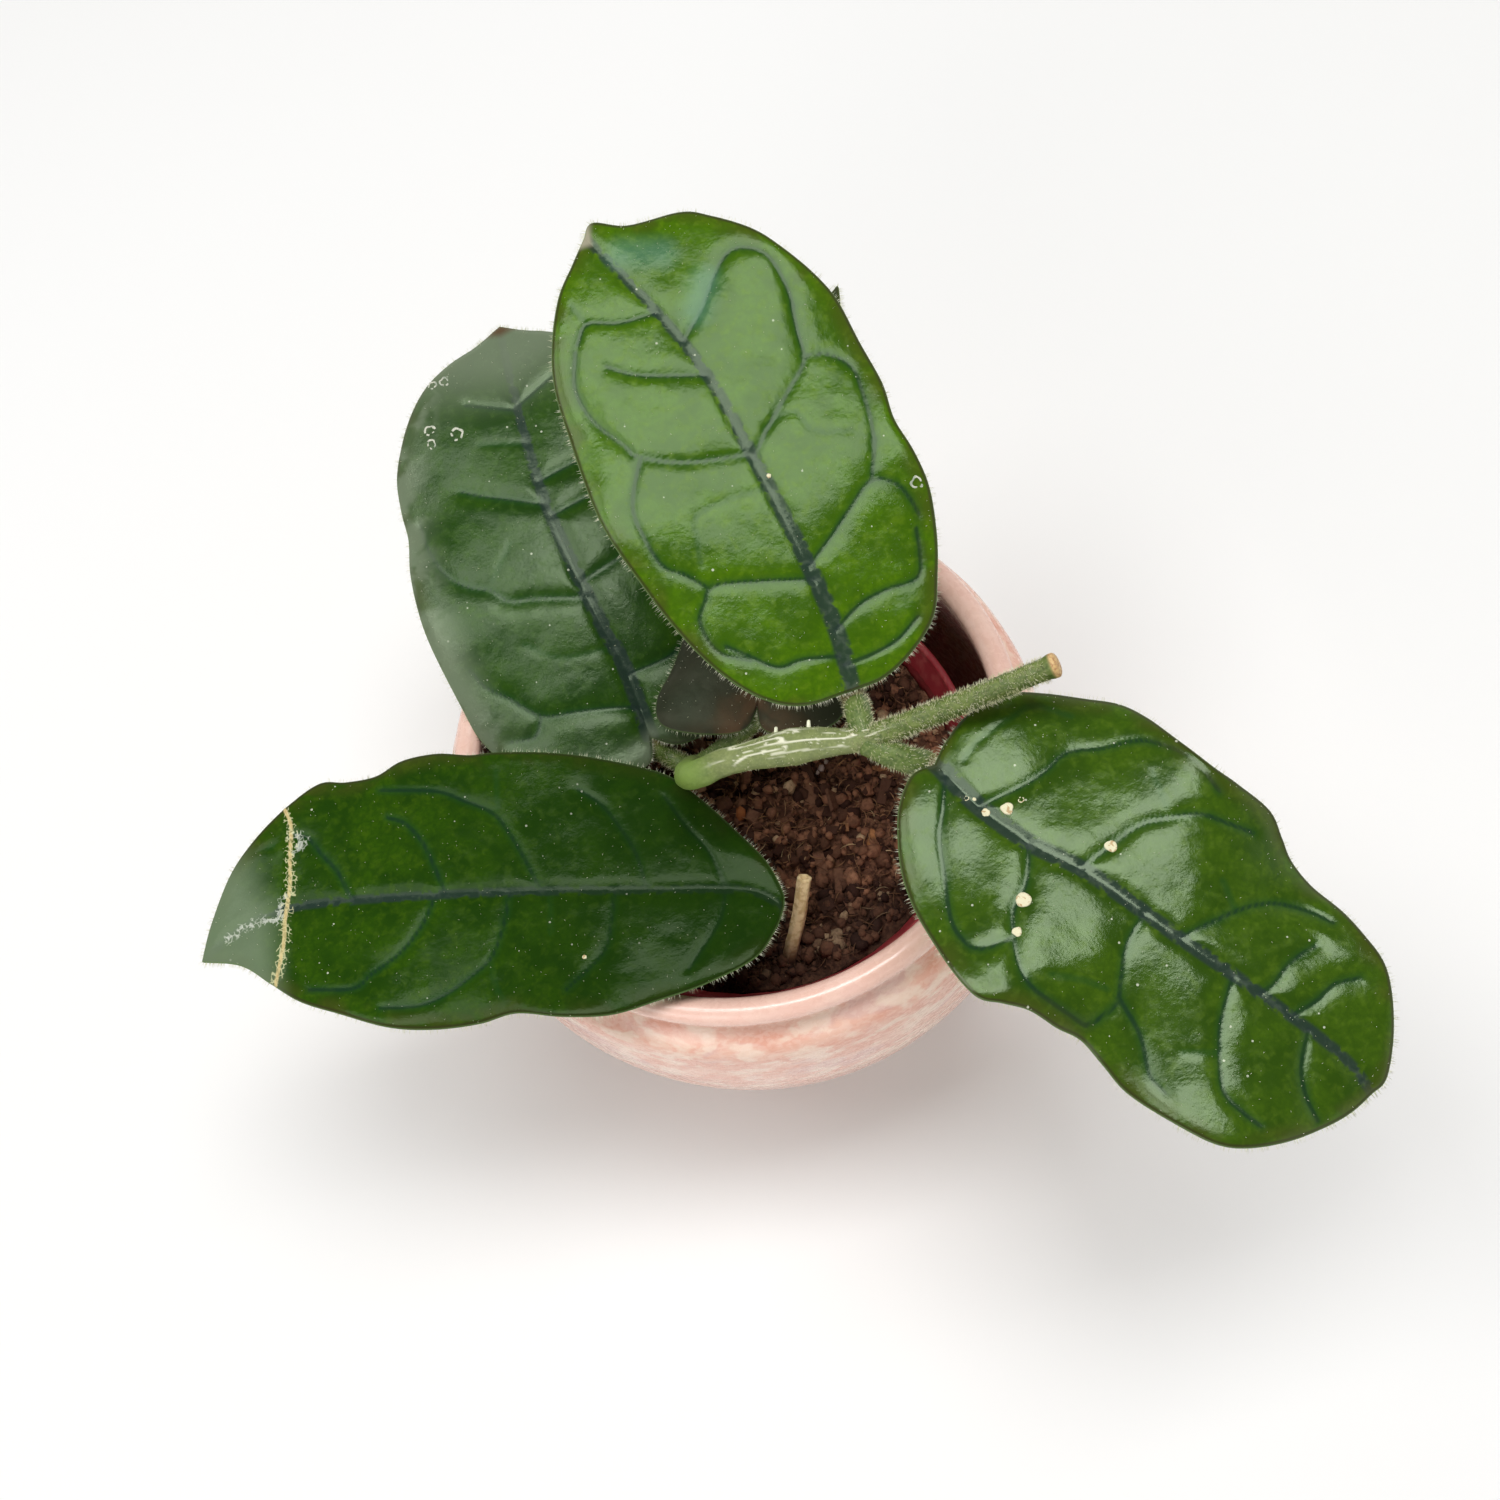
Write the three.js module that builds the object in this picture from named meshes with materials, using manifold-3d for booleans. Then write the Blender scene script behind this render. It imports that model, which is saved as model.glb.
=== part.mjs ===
// A potted Hoya villosa: a hairy climbing stem with two pairs of quilted leaves,
// a one-leaf cutting beside a dry stub, and the soil, in a plastic nursery pot that
// stands inside a glazed ceramic pot. Millimetres, +Z up, origin at the centre of the
// ceramic pot's flat bottom. Seen from the front, -Y is near and +X is right.
import * as THREE from "three";
import { mergeVertices } from "three/addons/utils/BufferGeometryUtils.js";
import Module from "manifold-3d";

const wasm = await Module();
wasm.setup();

// Driving dimensions
const GAP = 0.3;
const POT_HEIGHT = 112;
const POT_RIM_INNER_RADIUS = 59.8;
const POT_RIM_OUTER_RADIUS = 65.9;
const POT_BELLY_RADIUS = 71.6;
const POT_FOOT_RADIUS = 45;
const POT_WALL = 5;
const POT_FLOOR = 7;
const LINER_RIM_RADIUS = 54.4;
const LINER_FOOT_RADIUS = 37;
const LINER_RIM_DROP = 21;
const LINER_WALL = 1.1;
const LINER_LIP = 1.9;
const LINER_LIP_DEPTH = 7;
const LINER_SHIFT = -1.6;
const DRAIN_HOLE_RADIUS = 3.5;
const DRAIN_HOLE_COUNT = 6;
const DRAIN_RING_RADIUS = 25;
const SOIL_DROP = 9;
const SOIL_RELIEF = 1.3;
const CHIP_COUNT = 44;
const CHIP_REACH = 43;
const BLADE_THICKNESS = 1.2;
const BLADE_EDGE_THICKNESS = 0.8;
const VEIN_HALF_WIDTH = 4;
const STEM_SINK = 34;
const CUTTING_SINK = 22;

// Worked-out levels
const LINER_FLOOR = POT_FLOOR + GAP;
const LINER_TOP = POT_HEIGHT - LINER_RIM_DROP;
const SOIL_TOP = LINER_TOP - SOIL_DROP;
const SOIL_FOOT = LINER_FLOOR + LINER_WALL + GAP;

// A seeded random source, so every build is the same
function randomSource(seed) {
  let state = seed;
  return (low, high) => {
    state = (state * 1664525 + 1013904223) % 4294967296;
    return low + (high - low) * (state / 4294967296);
  };
}

// Closed geometry in and out of the solid library, for cuts and joins
function toSolid(geometry) {
  const bare = geometry.clone();
  bare.deleteAttribute("normal");
  bare.deleteAttribute("uv");
  const merged = mergeVertices(bare, 1e-3);
  return new wasm.Manifold(new wasm.Mesh({
    numProp: 3,
    vertProperties: new Float32Array(merged.attributes.position.array),
    triVerts: new Uint32Array(merged.index.array),
  }));
}

function toGeometry(solid) {
  const mesh = solid.getMesh();
  const geometry = new THREE.BufferGeometry();
  geometry.setAttribute("position", new THREE.BufferAttribute(new Float32Array(mesh.vertProperties), 3));
  geometry.setIndex(new THREE.BufferAttribute(new Uint32Array(mesh.triVerts), 1));
  geometry.computeVertexNormals();
  return geometry;
}

function indexedGeometry(points, triangles) {
  const geometry = new THREE.BufferGeometry();
  const flat = points.flatMap((point) => [point.x, point.y, point.z]);
  geometry.setAttribute("position", new THREE.Float32BufferAttribute(flat, 3));
  geometry.setIndex(triangles);
  geometry.computeVertexNormals();
  return geometry;
}

function smoothCurve(points) {
  const places = points.map(([x, y, z = 0]) => new THREE.Vector3(x, y, z));
  return new THREE.CatmullRomCurve3(places, false, "catmullrom", 0.5);
}

// A closed profile of [radius, height] points turned about the upright axis
function turned(profile, segments) {
  const lathe = new THREE.LatheGeometry(profile.map(([x, z]) => new THREE.Vector2(x, z)), segments);
  return lathe.rotateX(Math.PI / 2);
}

// A round stalk carried along a smooth curve. radii are spread evenly over its length,
// and both ends are closed with a flat fan.
function stalk(points, radii, sides, steps, extra = 0) {
  const curve = smoothCurve(points);
  const frames = curve.computeFrenetFrames(steps, false);
  const rings = [];
  for (let step = 0; step <= steps; step += 1) {
    const share = step / steps;
    const centre = curve.getPointAt(share);
    const place = share * (radii.length - 1);
    const low = Math.min(Math.floor(place), radii.length - 2);
    const radius = radii[low] + (radii[low + 1] - radii[low]) * (place - low) + extra;
    if (step === 0) centre.addScaledVector(frames.tangents[0], -extra);
    if (step === steps) centre.addScaledVector(frames.tangents[steps], extra);
    for (let side = 0; side < sides; side += 1) {
      const turn = (2 * Math.PI * side) / sides;
      rings.push(centre.clone()
        .addScaledVector(frames.normals[step], radius * Math.cos(turn))
        .addScaledVector(frames.binormals[step], radius * Math.sin(turn)));
    }
  }
  const startCap = rings.length;
  rings.push(curve.getPointAt(0).addScaledVector(frames.tangents[0], -extra));
  rings.push(curve.getPointAt(1).addScaledVector(frames.tangents[steps], extra));
  const triangles = [];
  for (let step = 0; step < steps; step += 1) {
    for (let side = 0; side < sides; side += 1) {
      const next = (side + 1) % sides;
      const a = step * sides + side;
      const b = step * sides + next;
      triangles.push(a, b, b + sides, a, b + sides, a + sides);
    }
  }
  const last = steps * sides;
  for (let side = 0; side < sides; side += 1) {
    const next = (side + 1) % sides;
    triangles.push(startCap, next, side, startCap + 1, last + side, last + next);
  }
  return indexedGeometry(rings, triangles);
}

// Glazed ceramic pot: a rounded lip over a shallow groove, a full belly and a small foot
function ceramicPot() {
  const lip = (POT_RIM_OUTER_RADIUS - POT_RIM_INNER_RADIUS) / 2;
  const lipCentre = POT_RIM_INNER_RADIUS + lip;
  const outer = [
    [0, 0], [POT_FOOT_RADIUS - 1.5, 0], [POT_FOOT_RADIUS, 1.5], [POT_FOOT_RADIUS + 5.5, 16],
    [POT_BELLY_RADIUS - 12.5, 34], [POT_BELLY_RADIUS - 5.5, 52], [POT_BELLY_RADIUS - 1.3, 68],
    [POT_BELLY_RADIUS, 82], [POT_BELLY_RADIUS - 0.4, 92], [POT_BELLY_RADIUS - 1.9, 99.5],
    [POT_RIM_OUTER_RADIUS - 1.6, POT_HEIGHT - 7.4],
    [POT_RIM_OUTER_RADIUS, POT_HEIGHT - 4.2],
  ];
  const lipArc = [0.2, 0.4, 0.6, 0.8].map((share) => [
    lipCentre + lip * Math.cos(share * Math.PI),
    POT_HEIGHT - lip + lip * Math.sin(share * Math.PI),
  ]);
  const inner = [
    [POT_RIM_INNER_RADIUS, POT_HEIGHT - 4.2],
    [POT_RIM_INNER_RADIUS + 1.4, POT_HEIGHT - 11],
    [POT_BELLY_RADIUS - POT_WALL, 84], [POT_BELLY_RADIUS - POT_WALL - 1.3, 68],
    [POT_BELLY_RADIUS - POT_WALL - 5.5, 50], [POT_BELLY_RADIUS - POT_WALL - 13, 30],
    [POT_FOOT_RADIUS - 3, POT_FLOOR + 4], [POT_FOOT_RADIUS - 6, POT_FLOOR], [0, POT_FLOOR],
  ];
  return turned([...outer, ...lipArc, ...inner], 48);
}

// Thin plastic nursery pot with a stepped lip and drain holes in its floor. It stands
// loose in the ceramic pot, a little nearer its front wall, and the soil with it.
function linerRadiusAt(height) {
  const share = (height - LINER_FLOOR) / (LINER_TOP - LINER_FLOOR);
  return LINER_FOOT_RADIUS + (LINER_RIM_RADIUS - LINER_LIP - LINER_FOOT_RADIUS) * share;
}

function nurseryPot() {
  const step = LINER_TOP - LINER_LIP_DEPTH;
  const profile = [
    [0, LINER_FLOOR], [LINER_FOOT_RADIUS, LINER_FLOOR], [linerRadiusAt(step), step],
    [LINER_RIM_RADIUS - 0.3, step], [LINER_RIM_RADIUS, LINER_TOP],
    [LINER_RIM_RADIUS - LINER_WALL, LINER_TOP],
    [linerRadiusAt(step) - LINER_WALL + 0.4, step + LINER_WALL],
    [linerRadiusAt(step) - LINER_WALL, step - 2],
    [LINER_FOOT_RADIUS - LINER_WALL, LINER_FLOOR + LINER_WALL], [0, LINER_FLOOR + LINER_WALL],
  ];
  let solid = toSolid(turned(profile, 40));
  for (let hole = 0; hole < DRAIN_HOLE_COUNT; hole += 1) {
    const turn = (2 * Math.PI * hole) / DRAIN_HOLE_COUNT;
    const drill = new THREE.CylinderGeometry(DRAIN_HOLE_RADIUS, DRAIN_HOLE_RADIUS, 6, 10);
    drill.rotateX(Math.PI / 2);
    drill.translate(DRAIN_RING_RADIUS * Math.cos(turn), DRAIN_RING_RADIUS * Math.sin(turn), LINER_FLOOR);
    solid = solid.subtract(toSolid(drill));
  }
  return toGeometry(solid.translate([0, LINER_SHIFT, 0]));
}

// Soil: a tapered plug with a lumpy top and coarse bark chips sunk into it
function soilHeight(x, y) {
  return SOIL_TOP + SOIL_RELIEF * (Math.sin(x * 0.31 + 1.3 * Math.sin(y * 0.17)) * Math.cos(y * 0.27)
    + 0.5 * Math.sin(x * 0.63 + y * 0.48));
}

function soilPlug() {
  const sectors = 32;
  const ringShares = [0.25, 0.5, 0.75, 1];
  const topRadius = linerRadiusAt(SOIL_TOP) - LINER_WALL - GAP - 0.4;
  const footRadius = LINER_FOOT_RADIUS - LINER_WALL - GAP - 0.2;
  const points = [new THREE.Vector3(0, 0, soilHeight(0, 0))];
  for (const share of ringShares) {
    for (let sector = 0; sector < sectors; sector += 1) {
      const turn = (2 * Math.PI * sector) / sectors;
      const x = topRadius * share * Math.cos(turn);
      const y = topRadius * share * Math.sin(turn);
      points.push(new THREE.Vector3(x, y, soilHeight(x, y)));
    }
  }
  for (let sector = 0; sector < sectors; sector += 1) {
    const turn = (2 * Math.PI * sector) / sectors;
    points.push(new THREE.Vector3(footRadius * Math.cos(turn), footRadius * Math.sin(turn), SOIL_FOOT));
  }
  points.push(new THREE.Vector3(0, 0, SOIL_FOOT));
  const triangles = [];
  for (let sector = 0; sector < sectors; sector += 1) {
    const next = (sector + 1) % sectors;
    triangles.push(0, 1 + sector, 1 + next);
    for (let ring = 0; ring < ringShares.length; ring += 1) {
      const a = 1 + ring * sectors + sector;
      const b = 1 + ring * sectors + next;
      triangles.push(a, a + sectors, b + sectors, a, b + sectors, b);
    }
    const foot = 1 + ringShares.length * sectors;
    triangles.push(points.length - 1, foot + next, foot + sector);
  }
  return toSolid(indexedGeometry(points, triangles));
}

function barkChip(random) {
  const length = random(4.5, 9.5);
  const chip = new THREE.BoxGeometry(length, length * random(0.4, 0.75), random(2.6, 4), 1, 1, 1);
  chip.rotateY(random(-0.45, 0.45));
  chip.rotateX(random(-0.45, 0.45));
  chip.rotateZ(random(0, Math.PI));
  const reach = CHIP_REACH * Math.sqrt(random(0, 1));
  const turn = random(0, 2 * Math.PI);
  const x = reach * Math.cos(turn);
  const y = reach * Math.sin(turn);
  chip.translate(x, y, soilHeight(x, y) + random(-0.6, 0.5));
  return chip;
}

function soil(holes) {
  const random = randomSource(7);
  let solid = soilPlug();
  for (let chip = 0; chip < CHIP_COUNT; chip += 1) {
    solid = solid.add(toSolid(barkChip(random)));
  }
  solid = solid.translate([0, LINER_SHIFT, 0]);
  for (const hole of holes) {
    solid = solid.subtract(toSolid(hole));
  }
  return toGeometry(solid);
}

// Stems and leaf stalks, as the points that their middle lines pass through
const MAIN_STEM = {
  points: [
    [-12, 14, SOIL_TOP - STEM_SINK], [-11.9, 11, SOIL_TOP - 8], [-11.2, 2.6, 96], [-10.5, -7.6, 119],
    [-10.9, -16.2, 136.5], [-8.1, -19.2, 142.4], [-1.5, -19.7, 144.8], [13.8, -23.2, 148.8],
    [25.7, -27.3, 152], [38.2, -28.2, 155], [52.1, -29.4, 160], [64.5, -30.1, 164],
  ],
  radii: [3.2, 3.2, 3.2, 3.2, 3.3, 3.4, 3.5, 3.4, 3.2, 3, 2.9, 3.9, 2.6, 2.4, 2.3, 2.2, 2.2],
  sides: 10,
  steps: 40,
};

const DRY_STUB = {
  points: [[-3.6, -41, SOIL_TOP - CUTTING_SINK], [-3.1, -44, SOIL_TOP], [2, -38, 91.5], [5.9, -32.2, 99]],
  radii: [1.9, 1.8, 1.6, 1.6],
  boreRadius: 0.8,
  boreDepth: 5,
  sides: 8,
  steps: 8,
};

// Leaf blades. Each is drawn in its own plane: x runs from the base to the tip and y to
// the left of it, seen from above. heading turns x from +X towards +Y, and pitch lifts
// the tip. arch lifts the middle of the blade, droop lowers its edges, and ripple is a
// wave of the edge: its height, how many waves, and where it starts.
const LEAVES = {
  leaf_a: {
    base: [26.4, -17, 154], heading: 103, pitch: 18, arch: 3, droop: -1.5, quilt: 1.3, rows: 28, columns: 16,
    ripple: { left: [1.2, 2.5, 0.3], right: [1.8, 2.8, 1] },
    midrib: [[0, 0], [11, -3], [27, -5], [52, -6.5], [72, -7], [90, -4.5], [110, 0]],
    left: [[0, 0], [2, 10], [7, 16.5], [15, 21], [25, 24], [38, 26], [55, 27], [75, 23.5], [85, 21],
      [93, 17], [101, 11], [106, 5], [110, 0]],
    right: [[0, 0], [-1, -7], [1, -15], [5, -22], [12, -27], [19, -31], [28, -34.5], [36, -35.5],
      [44, -35.5], [52, -37.5], [62, -38.2], [72, -38.8], [79, -37.5], [87, -34.5], [94, -31], [101, -25],
      [105, -20], [108, -9], [112, -3], [110, 0]],
    veins: [
      [[7, -2], [8, 2], [10, 10], [18, 19]], [[22, -4.5], [27, 6], [32, 15], [27, 20]], [[32, 15], [41, 22]],
      [[52, -6.5], [57, 5], [62, 14], [54, 26]], [[71, -7], [75, 3], [81, 10]], [[88, -5], [93, 8]],
      [[6, -2], [5, -12]], [[18, -4], [14, -14], [25, -30], [35, -25]], [[27, -5], [33, -18], [35, -25]],
      [[52, -6.5], [56, -15], [64, -25]], [[35, -25], [45, -31], [55, -34], [62, -32], [64, -25]],
      [[81, -6], [91, -20], [92, -24]], [[64, -25], [80, -27], [92, -24]],
    ],
  },
  leaf_b: {
    base: [-18, 9.2, 108], heading: 93, pitch: 14, arch: 6, droop: -3, quilt: 1.3, rows: 28, columns: 16,
    ripple: { left: [1.5, 2.5, 0.3], right: [1.5, 2.5, 1] },
    midrib: [[0, 0], [18, 0], [33, 2], [62, 4], [91, 2], [108, 0]],
    left: [[0, 0], [-6, 3], [-8, 15], [-3, 26], [3, 32], [13, 37], [21, 38.5], [38, 40.5], [48, 40.5],
      [57, 39.5], [65, 37.5], [72, 37], [80, 35.5], [87, 32], [94, 27], [99.5, 21], [103, 14], [105, 7],
      [108, 0]],
    right: [[0, 0], [-4, -6], [-3, -15], [3, -24], [15, -31], [35, -34], [55, -34], [72, -32], [86, -27],
      [96, -20], [102, -11], [105, -5], [108, 0]],
    veins: [
      [[8, 0], [15, 22], [31, 35]], [[36, 2.3], [39, 14], [48, 29], [54, 32]], [[73, 33], [61, 34], [54, 32]],
      [[63, 4], [69, 18], [73, 22]], [[85, 2.7], [91, 14]],
      [[15, 0], [19, -16], [32, -30]], [[39, 2.6], [44, -14], [56, -27]], [[66, 4], [70, -14], [80, -24]],
      [[86, 2.6], [92, -12]],
    ],
  },
  leaf_c: {
    base: [-0.5, -42.2, 114], heading: 168, pitch: 3, arch: 7, droop: -3, quilt: 1.3, rows: 28, columns: 16,
    ripple: { left: [1.5, 3, 0.3], right: [1.5, 2.5, 1] },
    midrib: [[0, 0], [8, -4], [30, -5.5], [52, -7], [78, -8.5], [106, -9.5], [119, -6], [128, 0]],
    left: [[0, 0], [2, 5], [7, 11.5], [17, 16], [28, 19], [38, 21.7], [48, 21.6], [58, 19.7], [66, 20.8],
      [77, 21], [86, 19.8], [96, 16], [105, 12], [112, 7], [119, 2], [128, 0]],
    right: [[0, 0], [0, -3], [3, -10], [9, -17.5], [17, -26.5], [25, -33], [42, -37.8], [60, -40],
      [67, -40.3], [75, -42], [83, -41.5], [89, -38.5], [96, -37.7], [102, -37.8], [110, -32],
      [117, -25], [122, -18], [126, -8], [128, 0]],
    veins: [
      [[14, -4.5], [15, 4], [21, 13]], [[37, -6], [38, 6], [48, 17]], [[50, -7], [51, 4]],
      [[60, -7.5], [63, 6], [71, 13], [81, 17]], [[76, -8.5], [80, 3], [88, 9], [103, 10]],
      [[12, -4.5], [15, -16], [22, -23]], [[31, -5.5], [34, -17], [47, -31]],
      [[53, -7], [56, -16], [63, -26], [76, -33], [91, -35]], [[74, -8], [77, -17], [89, -30]],
      [[94, -9.3], [100, -19], [107, -26]],
    ],
  },
  leaf_d: {
    base: [37.5, -36.5, 150], heading: -56, pitch: -8, arch: 5, droop: -2, quilt: 1.3, rows: 28, columns: 16,
    ripple: { left: [3, 2.6, 0.5], right: [3, 2.4, 2] },
    midrib: [[0, 0], [12, -2], [25, -2], [37, 0], [58, 0.5], [76, 1.5], [94, 2], [103, 0]],
    left: [[0, 0], [-1, 5], [-1, 12], [2, 20], [8, 25.5], [15, 30], [21, 33], [27, 33.5], [35, 32.5],
      [43, 32], [49, 32.5], [57, 33], [62, 30.5], [66, 28], [72, 26], [79, 25], [85, 23.3], [91, 21],
      [96, 16.5], [100.5, 10.5], [103.5, 4], [103, 0]],
    right: [[0, 0], [-2, -5], [0, -11.5], [4, -17], [9, -22], [15, -26], [22, -29.3], [29, -32], [35, -33],
      [39, -31], [44, -28.5], [50, -27.5], [55, -26.2], [61, -27.2], [68, -28.7], [79, -28], [86, -26.5],
      [91, -23], [96, -17], [100, -10], [102, -5], [103, 0]],
    veins: [
      [[21, -2], [19, 15], [30, 29], [40, 31]], [[35, -0.5], [42, 18], [56, 29]],
      [[58, 0.5], [68, 18], [76, 22]],
      [[75, 1.5], [78, 10]], [[83, 1.8], [88, 16]],
      [[2, -1], [12, -14], [22, -24]], [[25, -2], [32, -19], [48, -26]], [[50, 0.3], [56, -17], [54, -23]],
      [[56, -17], [71, -25]], [[73, 1.3], [75, -11], [89, -19]], [[86, 1.9], [91, -7]],
    ],
  },
  leaf_e: {
    base: [7.6, 4, 117], heading: 62, pitch: 8, arch: 4, droop: -3, quilt: 1, rows: 22, columns: 12,
    ripple: { left: [1, 2.5, 0.3], right: [1, 2.5, 1] },
    midrib: [[0, 0], [43, 1], [106, 0]],
    left: [[0, 0], [-6, 2.2], [-8.3, 11.7], [-7.5, 20.6], [-2, 23], [6, 21], [16, 19.5], [33, 18], [61, 15],
      [90, 7.5], [106, 0]],
    right: [[0, 0], [-5, -2.4], [-5.6, -8], [-3, -16], [2.3, -20], [16, -22.7], [37.5, -22], [65, -15.5],
      [89, -5], [106, 0]],
    veins: [
      [[8, 0], [14, 12], [24, 16]], [[32, 0.8], [40, 10], [52, 14]], [[58, 0.9], [68, 9]],
      [[8, 0], [13, -12], [24, -19]], [[32, 0.8], [38, -10], [52, -17]], [[58, 0.9], [68, -10]],
    ],
  },
};

// Leaf stalks. They start at the stem's middle line, and end in a seat under the blade's base
const LEAF_STALKS = {
  petiole_a: {
    leaf: "leaf_a", start: [25.7, -27.3, 152], bend: [26.2, -21, 152], radii: [2.6, 2.7, 2.5, 2.5],
  },
  petiole_b: {
    leaf: "leaf_b", start: [-11, 0.2, 101.5], bend: [-15.2, 5.2, 102], radii: [2.8, 2.3, 2.1, 2.1],
  },
  petiole_d: {
    leaf: "leaf_d", start: [25.7, -28.2, 151.6], bend: [32.4, -33.4, 149.4], radii: [2.6, 2.9, 2.6, 2.5],
  },
  petiole_e: {
    leaf: "leaf_e", start: [-11, 0.2, 101.5], bend: [-4, 0.6, 107], radii: [2.8, 2.2, 2, 2],
  },
};

const CUTTING_STALK = {
  points: [[-10.5, -34, SOIL_TOP - CUTTING_SINK], [-8.5, -35.5, SOIL_TOP + 4], [-5.8, -38.6, 101]],
  radii: [2.3, 2.3, 2.2, 2],
  seatInset: 5,
  seatDepth: 1.15,
};

const STALK_SEAT_INSET = 2.5;
const STALK_SIDES = 8;
const STALK_STEPS = 6;

function nearestDistance(x, y, line) {
  let nearest = Infinity;
  for (let index = 1; index < line.length; index += 1) {
    const a = line[index - 1];
    const b = line[index];
    const runX = b.x - a.x;
    const runY = b.y - a.y;
    const projected = ((x - a.x) * runX + (y - a.y) * runY) / (runX ** 2 + runY ** 2);
    const share = THREE.MathUtils.clamp(projected, 0, 1);
    nearest = Math.min(nearest, Math.hypot(x - a.x - share * runX, y - a.y - share * runY));
  }
  return nearest;
}

// The blade swells between its veins and sinks along them, and is calm at its edge and base
function quilting(leaf, lines, x, y, along, across) {
  const distance = Math.min(...lines.map((line) => nearestDistance(x, y, line)));
  const calm = (1 - across ** 6) * Math.min(1, along / 0.12, (1 - along) / 0.08);
  return leaf.quilt * calm * (0.5 - Math.exp(-((distance / VEIN_HALF_WIDTH) ** 2)));
}

function bladeHeight(leaf, along, across) {
  const hump = Math.sin(Math.PI * along);
  const [height, waves, start] = across > 0 ? leaf.ripple.left : leaf.ripple.right;
  const ripple = height * Math.sin(2 * Math.PI * waves * along + start);
  return leaf.arch * hump + across ** 2 * hump * (leaf.droop + ripple);
}

// A blade is two alike sheets of triangles, the upper and the lower, closed along the edge.
// Row lines fan from the midrib to the edge curves, and both ends are single points.
function leafBlade(leaf) {
  const midrib = smoothCurve(leaf.midrib);
  const edges = { left: smoothCurve(leaf.left), right: smoothCurve(leaf.right) };
  const lines = [midrib, ...leaf.veins.map(smoothCurve)].map((curve) => curve.getPoints(8));
  const sheet = [];
  const lower = [];
  for (let row = 0; row <= leaf.rows; row += 1) {
    const even = row / leaf.rows;
    const along = 0.4 * even + 0.6 * (0.5 - 0.5 * Math.cos(Math.PI * even));
    const isEnd = row === 0 || row === leaf.rows;
    for (let column = 0; column <= (isEnd ? 0 : leaf.columns); column += 1) {
      const across = isEnd ? 0 : 1 - (2 * column) / leaf.columns;
      const middle = midrib.getPointAt(along);
      const edge = (across > 0 ? edges.left : edges.right).getPointAt(along);
      const point = middle.lerp(edge, Math.abs(across));
      point.z = bladeHeight(leaf, along, across) + quilting(leaf, lines, point.x, point.y, along, across);
      const thickness = BLADE_EDGE_THICKNESS + (BLADE_THICKNESS - BLADE_EDGE_THICKNESS) * (1 - across ** 4);
      sheet.push(point);
      lower.push(new THREE.Vector3(point.x, point.y, point.z - thickness));
    }
  }
  const columns = leaf.columns;
  const rowStart = (row) => (row === 0 ? 0 : 1 + (row - 1) * (columns + 1));
  const faces = [];
  for (let column = 0; column < columns; column += 1) {
    faces.push([0, rowStart(1) + column + 1, rowStart(1) + column]);
    const last = rowStart(leaf.rows - 1) + column;
    faces.push([rowStart(leaf.rows), last, last + 1]);
  }
  for (let row = 1; row < leaf.rows - 1; row += 1) {
    for (let column = 0; column < columns; column += 1) {
      const a = rowStart(row) + column;
      const c = rowStart(row + 1) + column;
      faces.push([a, a + 1, c + 1], [a, c + 1, c]);
    }
  }
  const border = [0];
  for (let row = 1; row < leaf.rows; row += 1) border.push(rowStart(row));
  border.push(rowStart(leaf.rows));
  for (let row = leaf.rows - 1; row > 0; row -= 1) border.push(rowStart(row) + columns);
  const below = sheet.length;
  const triangles = faces.flatMap(([a, b, c]) => [a, b, c, a + below, c + below, b + below]);
  border.forEach((a, index) => {
    const b = border[(index + 1) % border.length];
    triangles.push(a, b, b + below, a, b + below, a + below);
  });
  return indexedGeometry([...sheet, ...lower], triangles);
}

function placeLeaf(object, leaf) {
  object.position.set(...leaf.base);
  const toRadians = THREE.MathUtils.degToRad;
  object.rotation.set(0, toRadians(-leaf.pitch), toRadians(leaf.heading), "ZYX");
  return object;
}

// A point given in a leaf's own plane, in the part's frame
function fromLeaf(leaf, x, y, z) {
  const frame = placeLeaf(new THREE.Object3D(), leaf);
  frame.updateMatrixWorld();
  return new THREE.Vector3(x, y, z).applyMatrix4(frame.matrixWorld).toArray();
}

function seatUnder(leaf, radius) {
  const depth = BLADE_THICKNESS + GAP / 2 + radius;
  return [fromLeaf(leaf, -STALK_SEAT_INSET, 0, -depth), fromLeaf(leaf, STALK_SEAT_INSET, 0, -depth)];
}

function leafStalk({ leaf, start, bend, radii }, stem) {
  const seat = seatUnder(LEAVES[leaf], radii.at(-1));
  const tube = toSolid(stalk([start, bend, ...seat], radii, STALK_SIDES, STALK_STEPS));
  return toGeometry(tube.subtract(toSolid(stem)));
}

// Materials, one for each finish
const paint = (color, roughness) => new THREE.MeshStandardMaterial({ color, roughness, metalness: 0 });
const MATERIALS = {
  glaze: () => paint(0xe2b6a5, 0.3),
  plastic: () => paint(0x8e2f2b, 0.5),
  soil: () => paint(0x4b3126, 0.95),
  stem: () => paint(0x7d9150, 0.7),
  dry: () => paint(0xb59a63, 0.85),
  blade: () => paint(0x3f7a2c, 0.35),
};

const plant = new THREE.Group();

function add(name, geometry, material) {
  const mesh = new THREE.Mesh(geometry, MATERIALS[material]());
  mesh.name = name;
  plant.add(mesh);
  return mesh;
}

// Stems first, because what they pass through is cut to clear them
const mainStem = stalk(MAIN_STEM.points, MAIN_STEM.radii, MAIN_STEM.sides, MAIN_STEM.steps);
const mainStemRoom = stalk(MAIN_STEM.points, MAIN_STEM.radii, MAIN_STEM.sides, MAIN_STEM.steps, GAP);

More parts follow.
